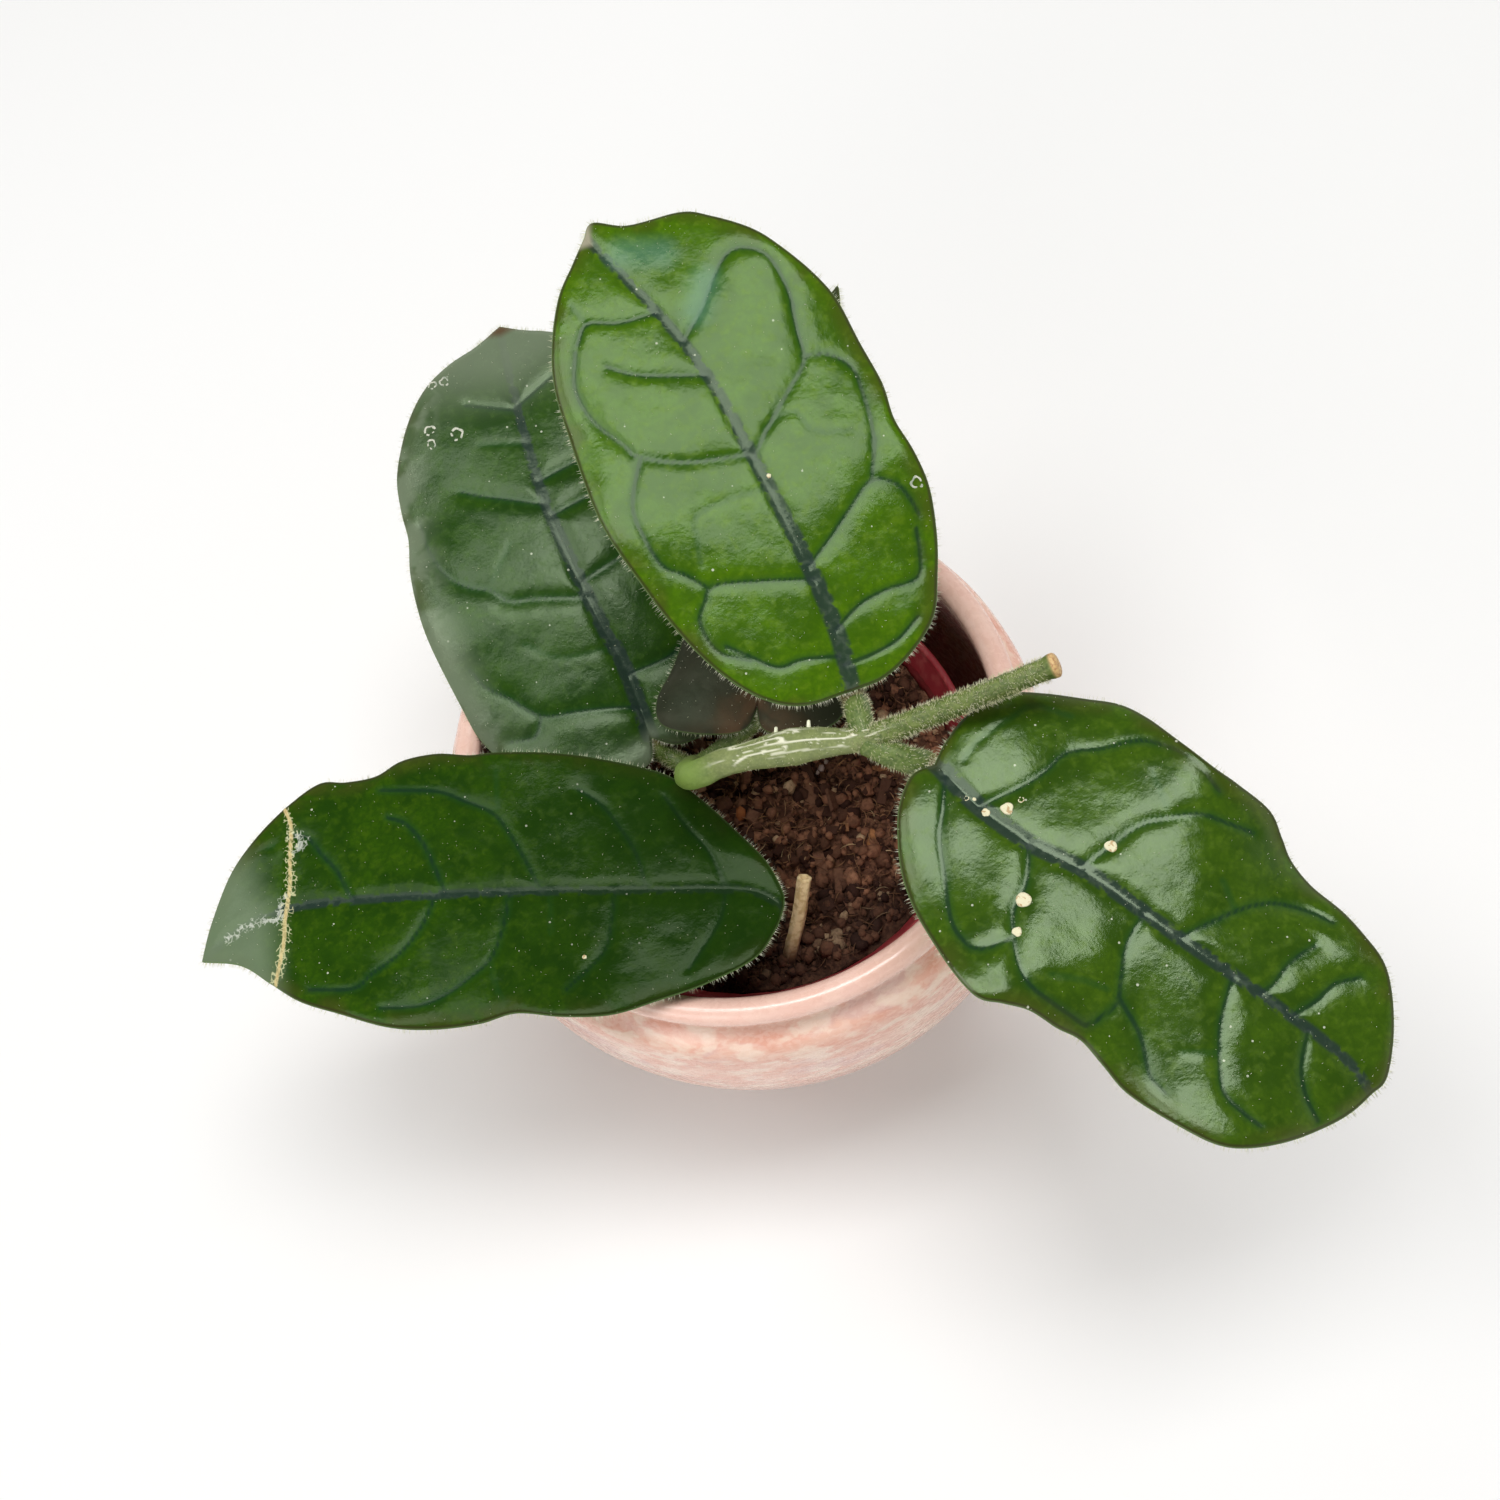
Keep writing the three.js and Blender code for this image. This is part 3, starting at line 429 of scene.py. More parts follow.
# %% Leaf measures, in millimetres
LEAVES = {
    "leaf_a": dict(
        base=(26.4, -17, 154), heading=103, pitch=18,
        arch=1.3, rise=2.6, droop=-0.7, quilt=0.16, uneven=0.15,
        ripple=((0.9, 2.5, 0.3), (1.2, 2.8, 1)),
        midrib=[(0, 0), (11, -3), (27, -5), (52, -6.5), (72, -7), (90, -4.5), (110, 0)],
        left=[(0, 0), (2, 10), (7, 16.5), (15, 21), (25, 24), (38, 26), (55, 27), (75, 23.5), (85, 21),
              (93, 17), (101, 11), (106, 5), (110, 0)],
        right=[(0, 0), (-1, -7), (1, -15), (5, -22), (12, -27), (19, -31), (28, -34.5), (36, -35.5),
               (44, -35.5), (52, -37.5), (62, -38.2), (72, -38.8), (79, -37.5), (87, -34.5), (94, -31),
               (101, -25), (105, -20), (108, -9), (112, -3), (110, 0)],
        veins=[[(88, -5), (90, 3), (93, 9), (90, 13)], [(71, -7), (78, 5), (83, 10)],
               [(52, -6.5), (57, 6), (63, 14), (66, 15), (74, 18), (82, 18), (89, 14)],
               [(62, 14), (56, 19), (51, 21), (41, 21), (37, 18), (32, 15)],
               [(23, -4.5), (28, 5), (32, 14), (30, 17), (27, 20), (20, 20), (15, 15)],
               [(7, -1), (10, 6), (11, 11), (16, 15), (20, 18)],
               [(80, -6.5), (84, -13), (89, -19), (92, -24), (91, -28), (87, -31), (80, -31), (75, -30)],
               [(51, -6.5), (55, -12), (60, -20), (64, -26), (70, -28), (76, -30)],
               [(65, -26), (63, -31), (58, -34), (52, -33), (45, -31), (39, -28)],
               [(26, -5), (29, -12), (32, -18), (35, -25), (32, -29), (28, -30), (24, -30)],
               [(35, -25), (42, -30)], [(12, -3), (14, -10), (14, -16), (13, -23), (17, -26), (22, -28)],
               [(5, -1), (4, -7), (4, -13), (6, -19)]],
        faint=[[(44, -6), (46, 3), (46, 10), (42, 12), (37, 14)], [(93, 9), (98, 10)],
               [(55, -11), (56, -16), (55, -19), (50, -20), (46, -27)]],
        # Two lines near the tip where a blue-green sheen is painted.
        marks=dict(teal=[[(103, -5), (99, -12)], [(84, -12), (89, -17)]]),
        dabs=[(46, -7, 0.5, "disc"), (30, -33, 1.4, "ring")],
    ),
    "leaf_b": dict(
        base=(-18, 9.2, 108), heading=93, pitch=14, arch=4.5, droop=-3, quilt=0.36, uneven=0.3,
        ripple=((1.5, 2.5, 0.3), (1.5, 2.5, 1)),
        midrib=[(0, 0), (18, 0), (33, 2), (62, 4), (91, 2), (108, 0)],
        left=[(0, 0), (-6, 3), (-8, 15), (-3, 26), (3, 32), (13, 37), (21, 38.5), (38, 40.5), (48, 40.5),
              (57, 39.5), (65, 37.5), (72, 37), (80, 35.5), (87, 32), (94, 27), (99.5, 21), (103, 14),
              (105, 7), (108, 0)],
        right=[(0, 0), (-4, -6), (-3, -15), (3, -24), (15, -31), (35, -34), (55, -34), (72, -32),
               (86, -27), (96, -20), (102, -11), (105, -5), (108, 0)],
        veins=[[(60, 4), (64, 11), (68, 18), (71, 22)],
               [(35, 2), (39, 13), (41, 20), (45, 23), (48, 28), (53, 32), (61, 34), (67, 34)],
               [(7, 0), (9, 6), (11, 14), (13, 22), (20, 28), (24, 32), (29, 34)],
               [(13, 22), (9, 25), (10, 31)],
               [(85, 2.7), (91, 14)], [(15, 0), (17, -14), (32, -30)], [(39, 2.6), (44, -14), (56, -27)],
               [(57, 3.5), (58, -3), (60, -14)], [(66, 4), (70, -14), (80, -24)], [(86, 2.6), (92, -12)]],
        faint=[[(47, 22), (52, 17), (54, 15)], [(22, 1), (24, 13), (30, 20)], [(76, 3), (80, 14)]],
        dabs=[(85, 18, 1.8, "ring"), (99, 17, 1.3, "ring"), (99, 20, 1.2, "ring"), (88, 24, 1.5, "ring"),
              (85, 25, 1.3, "ring")],
    ),
    "leaf_c": dict(
        base=(-0.5, -42.2, 114), heading=168, pitch=3, arch=4.5, droop=0.4, quilt=0.16, uneven=0.12,
        ripple=((1.5, 3, 0.3), (1.5, 2.5, 1)),
        midrib=[(0, 0), (8, -4), (30, -5.5), (52, -7), (78, -8.5), (106, -9.5), (119, -6), (128, 0)],
        left=[(0, 0), (2, 5), (7, 11.5), (17, 16), (28, 19), (38, 21.7), (48, 21.6), (58, 19.7),
              (66, 20.8), (77, 21), (86, 19.8), (96, 16), (105, 12), (112, 7), (119, 2), (128, 0)],
        right=[(0, 0), (0, -3), (3, -10), (9, -17.5), (17, -26.5), (25, -33), (42, -37.8), (60, -40),
               (67, -40.3), (75, -42), (83, -41.5), (89, -38.5), (96, -37.7), (102, -37.8), (110, -32),
               (117, -25), (122, -18), (126, -8), (128, 0)],
        veins=[[(12, -5), (15, -13), (20, -20), (24, -27)],
               [(29, -5.5), (31, -14), (34, -20), (38, -26), (43, -30)],
               [(52, -7), (55, -14), (58, -20), (62, -26), (69, -30), (75, -33), (88, -35)],
               [(73, -8.5), (75, -14), (78, -21), (82, -26), (86, -28)],
               [(94, -9.3), (97, -16), (101, -21), (104, -25), (107, -26)],
               [(12, -4.5), (14, 3), (21, 13)], [(36, -6), (37, 1), (39, 8), (47, 16)],
               [(59, -7.5), (60, -1), (63, 7), (68, 11), (73, 14), (79, 16), (87, 16)],
               [(75, -8.5), (78, -2), (83, 4), (89, 8), (93, 11), (103, 10)]],
        faint=[[(61, -27), (61, -36)], [(112, -24), (118, -23)], [(50, -7), (50, 3)],
               [(63, 9), (62, 14), (60, 18)]],
        marks=dict(
            scar=[[(110, -33), (108, -29), (108, -20), (108, -14), (109, -7), (109, -2), (110, 4),
                   (111, 8)]],
            crack=[[(110, -7), (115, -7), (119, -6), (122, -4)], [(110, -7), (110, -10), (109, -12)],
                   [(108, -26), (105, -25), (107, -22)]],
        ),
        dabs=[(43, 9, 0.5, "disc")],
    ),
    "leaf_d": dict(
        base=(37.5, -36.5, 150), heading=-56, pitch=-8, arch=3.8, droop=-1.2, quilt=0.3, uneven=0.24,
        ripple=((3, 2.6, 0.5), (3, 2.4, 2)),
        midrib=[(0, 0), (12, -2), (25, -2), (37, 0), (58, 0.5), (76, 1.5), (94, 2), (103, 0)],
        left=[(0, 0), (-1, 5), (-1, 12), (2, 20), (8, 25.5), (15, 30), (21, 33), (27, 33.5), (35, 32.5),
              (43, 32), (49, 32.5), (57, 33), (62, 30.5), (66, 28), (72, 26), (79, 25), (85, 23.3),
              (91, 21), (96, 16.5), (100.5, 10.5), (103.5, 4), (103, 0)],
        right=[(0, 0), (-2, -5), (0, -11.5), (4, -17), (9, -22), (15, -26), (22, -29.3), (29, -32),
               (35, -33), (39, -31), (44, -28.5), (50, -27.5), (55, -26.2), (61, -27.2), (68, -28.7),
               (79, -28), (86, -26.5), (91, -23), (96, -17), (100, -10), (102, -5), (103, 0)],
        veins=[[(12, -2), (16, 6), (18, 12), (19, 18), (24, 23), (28, 28), (32, 30), (39, 31), (47, 29)],
               [(35, -0.5), (37, 7), (39, 14), (43, 19), (47, 23), (52, 25), (57, 27)],
               [(58, 0.5), (61, 7), (64, 13), (68, 18), (74, 21), (79, 22)],
               [(76, 1.5), (77, 5), (77, 10), (79, 16)], [(83, 1.8), (85, 7), (86, 12), (89, 16)],
               [(3, -1), (7, -7), (10, -12), (15, -17), (22, -24), (27, -26), (30, -25), (33, -20)],
               [(24, -2), (27, -6), (29, -10), (30, -15), (33, -19), (37, -23), (41, -25), (45, -25),
                (54, -24)],
               [(50, 0.3), (51, -7), (54, -13), (56, -17), (55, -22), (54, -24)],
               [(56, -16), (63, -19), (69, -24), (73, -25)],
               [(70, 1.2), (73, -7), (76, -12), (81, -18), (86, -19), (90, -19)],
               [(87, 1.9), (90, -5), (94, -9), (98, -11)]],
        faint=[[(4, 4), (4, 9), (6, 17), (8, 22), (15, 25)], [(35, 24), (38, 22), (41, 20)],
               [(58, 15), (63, 12)], [(43, -21), (48, -18), (53, -16)], [(71, -17), (76, -13)]],
        dabs=[(14, -2, 0.9, "disc"), (17, 1, 1.3, "disc"), (18, 4, 0.7, "ring"), (9, -2, 0.6, "ring"),
              (10.5, -1.4, 0.4, "disc"), (37, 7, 1.3, "disc"), (30, -12, 1.6, "disc"),
              (33, -18, 1.0, "disc")],
    ),
    "leaf_e": dict(
        base=(7.6, 4, 117), heading=62, pitch=8, arch=4, droop=-3, quilt=0.5, uneven=0.3,
        ripple=((1, 2.5, 0.3), (1, 2.5, 1)),
        midrib=[(0, 0), (43, 1), (106, 0)],
        left=[(0, 0), (-6, 2.2), (-8.3, 11.7), (-7.5, 20.6), (-2, 23), (6, 21), (16, 19.5), (33, 18),
              (61, 15), (90, 7.5), (106, 0)],
        right=[(0, 0), (-5, -2.4), (-5.6, -8), (-3, -16), (2.3, -20), (16, -22.7), (37.5, -22),
               (65, -15.5), (89, -5), (106, 0)],
        veins=[[(8, 0), (14, 12), (24, 16)], [(32, 0.8), (40, 10), (52, 14)], [(58, 0.9), (68, 9)],
               [(8, 0), (13, -12), (24, -19)], [(32, 0.8), (38, -10), (52, -17)], [(58, 0.9), (68, -10)]],
        faint=[[(20, 0), (27, 9)], [(45, 1), (52, -8)]],
    ),
}
BLADE_THICKNESS = 1.2
EDGE_THICKNESS = 0.8
VEIN_HALF_WIDTH = 2.4
BLADE_ROWS = 186
BLADE_COLUMNS = 114
RIM_STEPS = 3
print("leaf lengths, in mm:", {name: leaf["midrib"][-1][0] for name, leaf in LEAVES.items()})

# %% [markdown]
# ## The blade's heights
# The veins are sunk into the upper face, and the blade swells between them like a quilt.
# A glossy leaf shows every swelling in its sheen, so a flat sheet with a drawn pattern
# would look dead. The heights could be sculpted. Here each cause has one short formula,
# so that each can be changed alone.

# %% The blade's heights


def swelling(leaf, along, across):
    """The blade's large form: a hump from base to tip, edges that droop by the square of
    the way out, and a wave along each edge that grows the same way. Some blades also rise
    quickly from their stalk."""
    hump = np.sin(np.pi * along)
    left, right = (height * np.sin(2 * np.pi * waves * along + start)
                   for height, waves, start in leaf["ripple"])
    rise = leaf.get("rise", 0) * (1 - np.exp(-along / 0.13)) * (1 - along)
    droop = leaf["droop"] + np.where(across > 0, left, right)
    return leaf["arch"] * hump + rise + across**2 * hump * droop


def quilting(leaf, along, across, distance):
    """The blade is high between veins and low on them: a bell-shaped valley along each
    vein, taken from an even height, and calmed towards the edge, the base and the tip."""
    calm = (1 - across**6) * np.minimum(1, np.minimum(along / 0.12, (1 - along) / 0.08))
    return leaf["quilt"] * calm * (0.5 - np.exp(-(distance / VEIN_HALF_WIDTH)**2))


def grooves(rib, vein, faint, along, margin):
    """Narrow bell-shaped grooves: deep and wide on the midrib, where they fade to the tip,
    and finer on the side veins and the faint ones. They end at the margin."""
    fade = np.clip(margin / 3, 0, 1)
    midrib = 0.3 * (1 - 0.6 * along) * np.exp(-(rib / 1.5)**2)
    return midrib + fade * (0.17 * np.exp(-(vein / 0.75)**2) + 0.1 * np.exp(-(faint / 0.9)**2))


def upper_heights(leaf, grid, seed):
    """The upper face: its large form and its quilting, less the grooves and a fall at the
    margin, with a slow swell and two sizes of soft puckers between the veins."""
    x, y, along, across, margin = (grid[key] for key in ("x", "y", "along", "across", "margin"))
    nearest = np.minimum(grid["rib"], grid["vein"])
    calm = np.clip(margin / 3, 0, 1) * np.clip(nearest / 3, 0, 1)
    puckers = 0.08 * soft_noise(x, y, 6, seed) + 0.03 * soft_noise(x, y, 2.6, seed + 1)
    height = swelling(leaf, along, across) + quilting(leaf, along, across, nearest)
    height = height - grooves(grid["rib"], grid["vein"], grid["faint"], along, margin)
    height = height - 0.35 * np.exp(-margin / 1.2)
    height = height + leaf["uneven"] * np.clip(margin / 8, 0, 1) * soft_noise(x, y, 17, seed + 2)
    return height + calm * puckers


def blade_thickness(grid):
    """Thinner at the edges, by the fourth power of the way out, and thicker by the keels
    of the midrib and the side veins, which are bell-shaped ridges on the lower face."""
    body = EDGE_THICKNESS + (BLADE_THICKNESS - EDGE_THICKNESS) * (1 - grid["across"]**4)
    keel = 0.9 * np.exp(-(grid["rib"] / 1.5)**2) * (1 - 0.75 * grid["along"])
    keel = keel + 0.3 * np.exp(-(grid["vein"] / 1.1)**2)
    return body + keel * np.clip(grid["margin"] / 3, 0, 1)


print("depth of a midrib at its base, in mm:", grooves(0.0, 9.0, 9.0, 0.0, 9.0).round(2))

# %% [markdown]
# ## The grid of a leaf
# A plane could be cut to the leaf's outline, but a cut leaves ragged faces at the edge.
# So the grid follows the leaf instead: its middle column is the midrib, its outer columns
# are the two edges, and its rows stand closer at the base and the tip, where the outline
# turns fast.

# %% The grid of a leaf


def leaf_grid(leaf):
    """Places on the flat leaf and their distances, as arrays of rows and columns.

    A place is (along, across). Its flat position lies between the midrib's point and the
    edge's point at the same share of their lengths. The distances go to the midrib, to
    the nearest side vein, to the nearest faint vein and to the margin.
    """
    even = np.linspace(0, 1, BLADE_ROWS + 1)
    along = (0.4 * even + 0.6 * (0.5 - 0.5 * np.cos(np.pi * even)))[:, None]
    across = np.linspace(1, -1, BLADE_COLUMNS + 1)[None, :]
    middle = smooth_line(leaf["midrib"], along[:, 0])[:, None, :]
    left = smooth_line(leaf["left"], along[:, 0])[:, None, :]
    right = smooth_line(leaf["right"], along[:, 0])[:, None, :]
    edge = np.where(across[..., None] > 0, left, right)
    flat = middle + np.abs(across)[..., None] * (edge - middle)
    x, y = flat[..., 0], flat[..., 1]
    return {
        "x": x, "y": y, "along": along + 0 * x, "across": across + 0 * x,
        "rib": distance_to(smooth_line(leaf["midrib"], np.linspace(0, 1, 60)), x, y),
        "vein": nearest_of(leaf["veins"], x, y),
        "faint": nearest_of(leaf["faint"], x, y),
        "margin": (1 - np.abs(across)) * np.linalg.norm(edge - middle, axis=-1),
    }


def as_list(values):
    """Grid values as a list that has each end row once: base, inner rows, tip."""
    return np.concatenate([values[0, :1], values[1:-1].ravel(), values[-1, :1]])


def grid_numbers():
    """The number of each place in that list. An end row is one point, so all its places
    have the same number."""
    number = np.zeros((BLADE_ROWS + 1, BLADE_COLUMNS + 1), int)
    number[1:-1] = 1 + np.arange((BLADE_ROWS - 1) * (BLADE_COLUMNS + 1)).reshape(BLADE_ROWS - 1, -1)
    number[-1] = number[-2, -1] + 1
    return number


print("points on one face of a leaf:", grid_numbers().max() + 1)

# %% [markdown]
# ## The closed blade
# The blade is a little over a millimetre thick, with a rounded edge. A Solidify modifier
# could give the thickness, but not the keels of the veins on the lower face. So the lower
# face is a second grid under the first, and rings of points on a half circle close the
# edge between them.

# %% The closed blade


def rim_rings(top, bottom, middle_x):
    """Rings on a half circle from the upper border to the lower one, and the level way
    outward at each point of the border: across the line from the point before to the
    point after, and away from the leaf's middle."""
    ahead = np.roll(top, -1, axis=0) - np.roll(top, 1, axis=0)
    outward = unit(np.stack([ahead[:, 1], -ahead[:, 0]], axis=1))
    outward *= np.sign((outward * (top[:, :2] - [middle_x, 0])).sum(axis=1).mean())
    rim = []
    for turn in math.pi * np.arange(1, RIM_STEPS + 1) / (RIM_STEPS + 1):
        ring = (top + bottom) / 2 + (top - bottom) / 2 * math.cos(turn)
        ring[:, :2] += outward * 0.4 * EDGE_THICKNESS * math.sin(turn)
        rim.append(ring)
    return rim, outward


def blade(leaf, seed):
    """The closed blade of a leaf, its fields, its upper sheet as a grid, and its edge.

    The lower sheet lies under the upper one by the thickness, and its faces are turned
    round. The rim's rings join the two borders. A scar stands up from the upper face as
    a bell-shaped ridge.
    """
    grid = leaf_grid(leaf)
    height = upper_heights(leaf, grid, seed)
    upper = np.stack([as_list(grid["x"]), as_list(grid["y"]), as_list(height)], axis=1)
    lower = upper - as_list(blade_thickness(grid))[:, None] * [0, 0, 1]
    count = len(upper)
    number = grid_numbers()
    corners = [number[1:-2, :-1], number[1:-2, 1:], number[2:-1, 1:], number[2:-1, :-1]]
    quads = np.stack(corners, axis=-1).reshape(-1, 4)
    ends = np.concatenate([
        np.stack([number[0, :-1], number[1, 1:], number[1, :-1]], axis=-1),
        np.stack([number[-1, :-1], number[-2, :-1], number[-2, 1:]], axis=-1),
    ])
    border = np.concatenate([number[:-1, 0], number[-1:, 0], number[-2:0:-1, -1]])
    top, bottom = upper[border], lower[border]
    rim, outward = rim_rings(top, bottom, grid["x"].mean())
    between = [2 * count + step * len(border) + np.arange(len(border)) for step in range(RIM_STEPS)]
    rings = [border, *between, border + count]
    sides = np.concatenate([
        np.stack([a, np.roll(a, -1), np.roll(b, -1), b], axis=-1) for a, b in zip(rings[:-1], rings[1:])
    ])
    points = np.concatenate([upper, lower, *rim])

    def on_all(values):
        """A field of the grid, given to the upper sheet, the lower one and the rim."""
        values = as_list(values)
        return np.concatenate([values, values, np.tile(values[border], RIM_STEPS)])

    fields = {name: on_all(grid[name]) for name in ("rib", "vein", "faint", "margin", "along")}
    fields["under"] = np.repeat([0, 1, 0.5], [count, count, len(border) * RIM_STEPS])
    for name, lines in leaf.get("marks", {}).items():
        fields[name] = on_all(nearest_of(lines, grid["x"], grid["y"]))
    if "scar" in fields:
        points[:, 2] += 0.3 * np.exp(-(fields["scar"] / 0.9)**2) * (1 - fields["under"])
    faces = [quads, ends, quads[:, ::-1] + count, ends[:, ::-1] + count, sides]
    sheet = np.stack([grid["x"], grid["y"], height], axis=-1)
    edge_ring = {"points": (top + bottom) / 2, "outward": np.c_[outward, 0 * outward[:, :1]]}
    return points, faces, fields, sheet, edge_ring


def leaf_axes(leaf):
    """The leaf's own axes in the part's frame, as columns: x to the tip, y to the left and
    z up. heading turns x about the upright, and pitch lifts the tip."""
    heading, pitch = math.radians(leaf["heading"]), math.radians(leaf["pitch"])
    level = np.array([math.cos(heading), math.sin(heading), 0])
    x = math.cos(pitch) * level + np.array([0, 0, math.sin(pitch)])
    y = np.array([-math.sin(heading), math.cos(heading), 0])
    return np.stack([x, y, np.cross(x, y)], axis=1)


def on_leaf(leaf, points):
    """Points given in the leaf's own axes, in the part's frame."""
    return np.asarray(leaf["base"]) + points @ leaf_axes(leaf).T


for name, leaf in LEAVES.items():
    tip = on_leaf(leaf, np.array([*leaf["midrib"][-1], 0]))
    print(name, "has its tip at", tip.round(1).tolist(), "mm")

# %% [markdown]
# ## The leaf's skin
# The living blade is a saturated green under a glossy cuticle. Where the cuticle shows
# the soft box the leaf looks sage, and elsewhere deep green. Side veins are thin dark
# lines with a bluish shoulder, and the midrib is a blue-grey band. The margin is thin and
# brown, and the lower face is paler and dull. This could be painted on a texture, but a
# painted line blurs close up. A line drawn from a distance field stays crisp.

# %% Leaf skin


def leaf_skin(name, fresh, deep, bright, gloss, rib_width=1.2, dull=0.0, marks=None):
    """Layers of colour, each mixed over the last by a mask. The sheen has a green tint."""
    skin = Finish(name, specular=gloss, tint=(0.8, 0.98, 0.68))
    place = skin.place()
    patches = skin.group(PATCHES, Vector=place, Size=9, Low=0.38, High=0.62)
    small = skin.group(PATCHES, Vector=place, Size=2.2, Low=0.45, High=0.7)
    net = skin.group(NET, Vector=place, Size=4.5, Width=0.13)
    rib, vein, faint, margin = (skin.field(field) for field in ("rib", "vein", "faint", "margin"))
    colour = skin.mix(patches, fresh, deep)
    colour = skin.mix(skin.math("MULTIPLY", small, 0.5), colour, bright)
    colour = skin.mix(skin.math("MULTIPLY", net, 0.35), colour, deep)
    mottled = skin.group(PATCHES, Vector=place, Size=0.9, Low=0.4, High=0.6)
    colour = skin.mix(skin.math("MULTIPLY", mottled, 0.35), colour, deep)
    shoulder = skin.group(LINE, Distance=vein, Width=0.2, Softness=1.6)
    colour = skin.mix(skin.math("MULTIPLY", shoulder, 0.45), colour, (0.014, 0.06, 0.014))
    faint_line = skin.group(LINE, Distance=faint, Width=0.1, Softness=1.1)
    colour = skin.mix(skin.math("MULTIPLY", faint_line, 0.5), colour, (0.014, 0.06, 0.012))
    core = skin.group(LINE, Distance=vein, Width=0.12, Softness=0.6)
    colour = skin.mix(skin.math("MULTIPLY", core, 0.7), colour, (0.009, 0.028, 0.016))
    width = skin.ramp(skin.field("along"), 0.0, 1.0, rib_width, 0.25)
    ragged = skin.ramp(small, 0.0, 1.0, -0.35, 0.35)
    band = skin.group(LINE, Distance=skin.math("ADD", rib, ragged), Width=width, Softness=0.9)
    slate = skin.mix(small, (0.02, 0.034, 0.03), (0.046, 0.062, 0.056))
    colour = skin.mix(skin.math("MULTIPLY", band, 0.85), colour, slate)
    olive = skin.math("MULTIPLY", skin.group(LINE, Distance=margin, Width=0.5, Softness=4.5), patches)
    colour = skin.mix(skin.math("MULTIPLY", olive, 0.45), colour, (0.07, 0.075, 0.012))
    rim = skin.group(LINE, Distance=margin, Width=0.15, Softness=0.5)
    colour = skin.mix(skin.math("MULTIPLY", rim, 0.8), colour, (0.035, 0.035, 0.012))
    specks = skin.group(SPECKS, Vector=place, Spacing=3.5, Size=0.28)
    colour = skin.mix(skin.math("MULTIPLY", specks, 0.7), colour, (0.6, 0.62, 0.5))
    if marks:
        colour = marks(skin, colour, place)
    colour = skin.mix(skin.field("under"), colour, (0.13, 0.22, 0.07))
    rough = skin.ramp(small, 0.0, 1.0, 0.14 + dull, 0.22 + dull)
    rough = skin.math("MAXIMUM", rough, skin.ramp(skin.field("under"), 0.3, 0.7, 0.0, 0.6))
    fine = skin.bump(skin.group(GRAIN, Vector=place, Size=0.9), 0.03)
    normal = skin.bump(skin.group(GRAIN, Vector=place, Size=3.5), 0.06, fine)
    skin.set(colour=colour, roughness=rough, normal=normal)
    return skin


# %% [markdown]
# ## Marks on single leaves
# Every leaf has its own marks: a dry tip, a healed tear with a lacy edge, a grey bloom, painted sheen, and
# painted shade on a base under the other leaves. One material with many switches could hold them all.
# Here each mark is a small function that mixes one more layer over the skin, and a leaf
# names the one that it needs.

# %% Marks on single leaves


def pale_tip(skin, colour, place):
    """A dry, pale tip, and a painted blue-green sheen in two places near it."""
    # Painted reflection: a blue-green sheen along two short lines near the tip.
    painted_sheen = skin.group(LINE, Distance=skin.field("teal"), Width=0.5, Softness=5)
    colour = skin.mix(skin.math("MULTIPLY", painted_sheen, 0.5), colour, (0.08, 0.2, 0.13))
    tip = skin.ramp(skin.field("along"), 0.972, 0.99)
    return skin.mix(tip, colour, (0.3, 0.28, 0.2))


def brown_tip(skin, colour, place):
    """A grey bloom and painted sheen in patches near the margin and the tip, and a dry brown end."""
    cloud = skin.group(PATCHES, Vector=place, Size=12, Low=0.4, High=0.6)
    edge = skin.group(LINE, Distance=skin.field("margin"), Width=1, Softness=11)
    edge = skin.math("MULTIPLY", edge, skin.ramp(cloud, 0.0, 1.0, 0.35, 1.0))
    # The grey is partly a bloom and partly painted sheen.
    painted_sheen = skin.math("MAXIMUM", edge, skin.ramp(skin.field("along"), 0.74, 0.92))
    colour = skin.mix(skin.math("MULTIPLY", painted_sheen, 0.8), colour, (0.165, 0.205, 0.135))
    return skin.mix(skin.ramp(skin.field("along"), 0.965, 0.99), colour, (0.1, 0.065, 0.035))


def shaded_base(skin, colour, place):
    """Painted shade: the half under the leaves above is dark grey and dull, and brown at the stalk."""
    along = skin.field("along")
    cloud = skin.group(PATCHES, Vector=place, Size=7, Low=0.3, High=0.7)
    grey = skin.mix(cloud, (0.042, 0.042, 0.027), (0.024, 0.027, 0.015))
    colour = skin.mix(skin.ramp(along, 0.6, 0.35), colour, grey)
    brown = skin.math("MULTIPLY", skin.ramp(along, 0.16, 0.06), cloud)
    return skin.mix(brown, colour, (0.12, 0.07, 0.04))


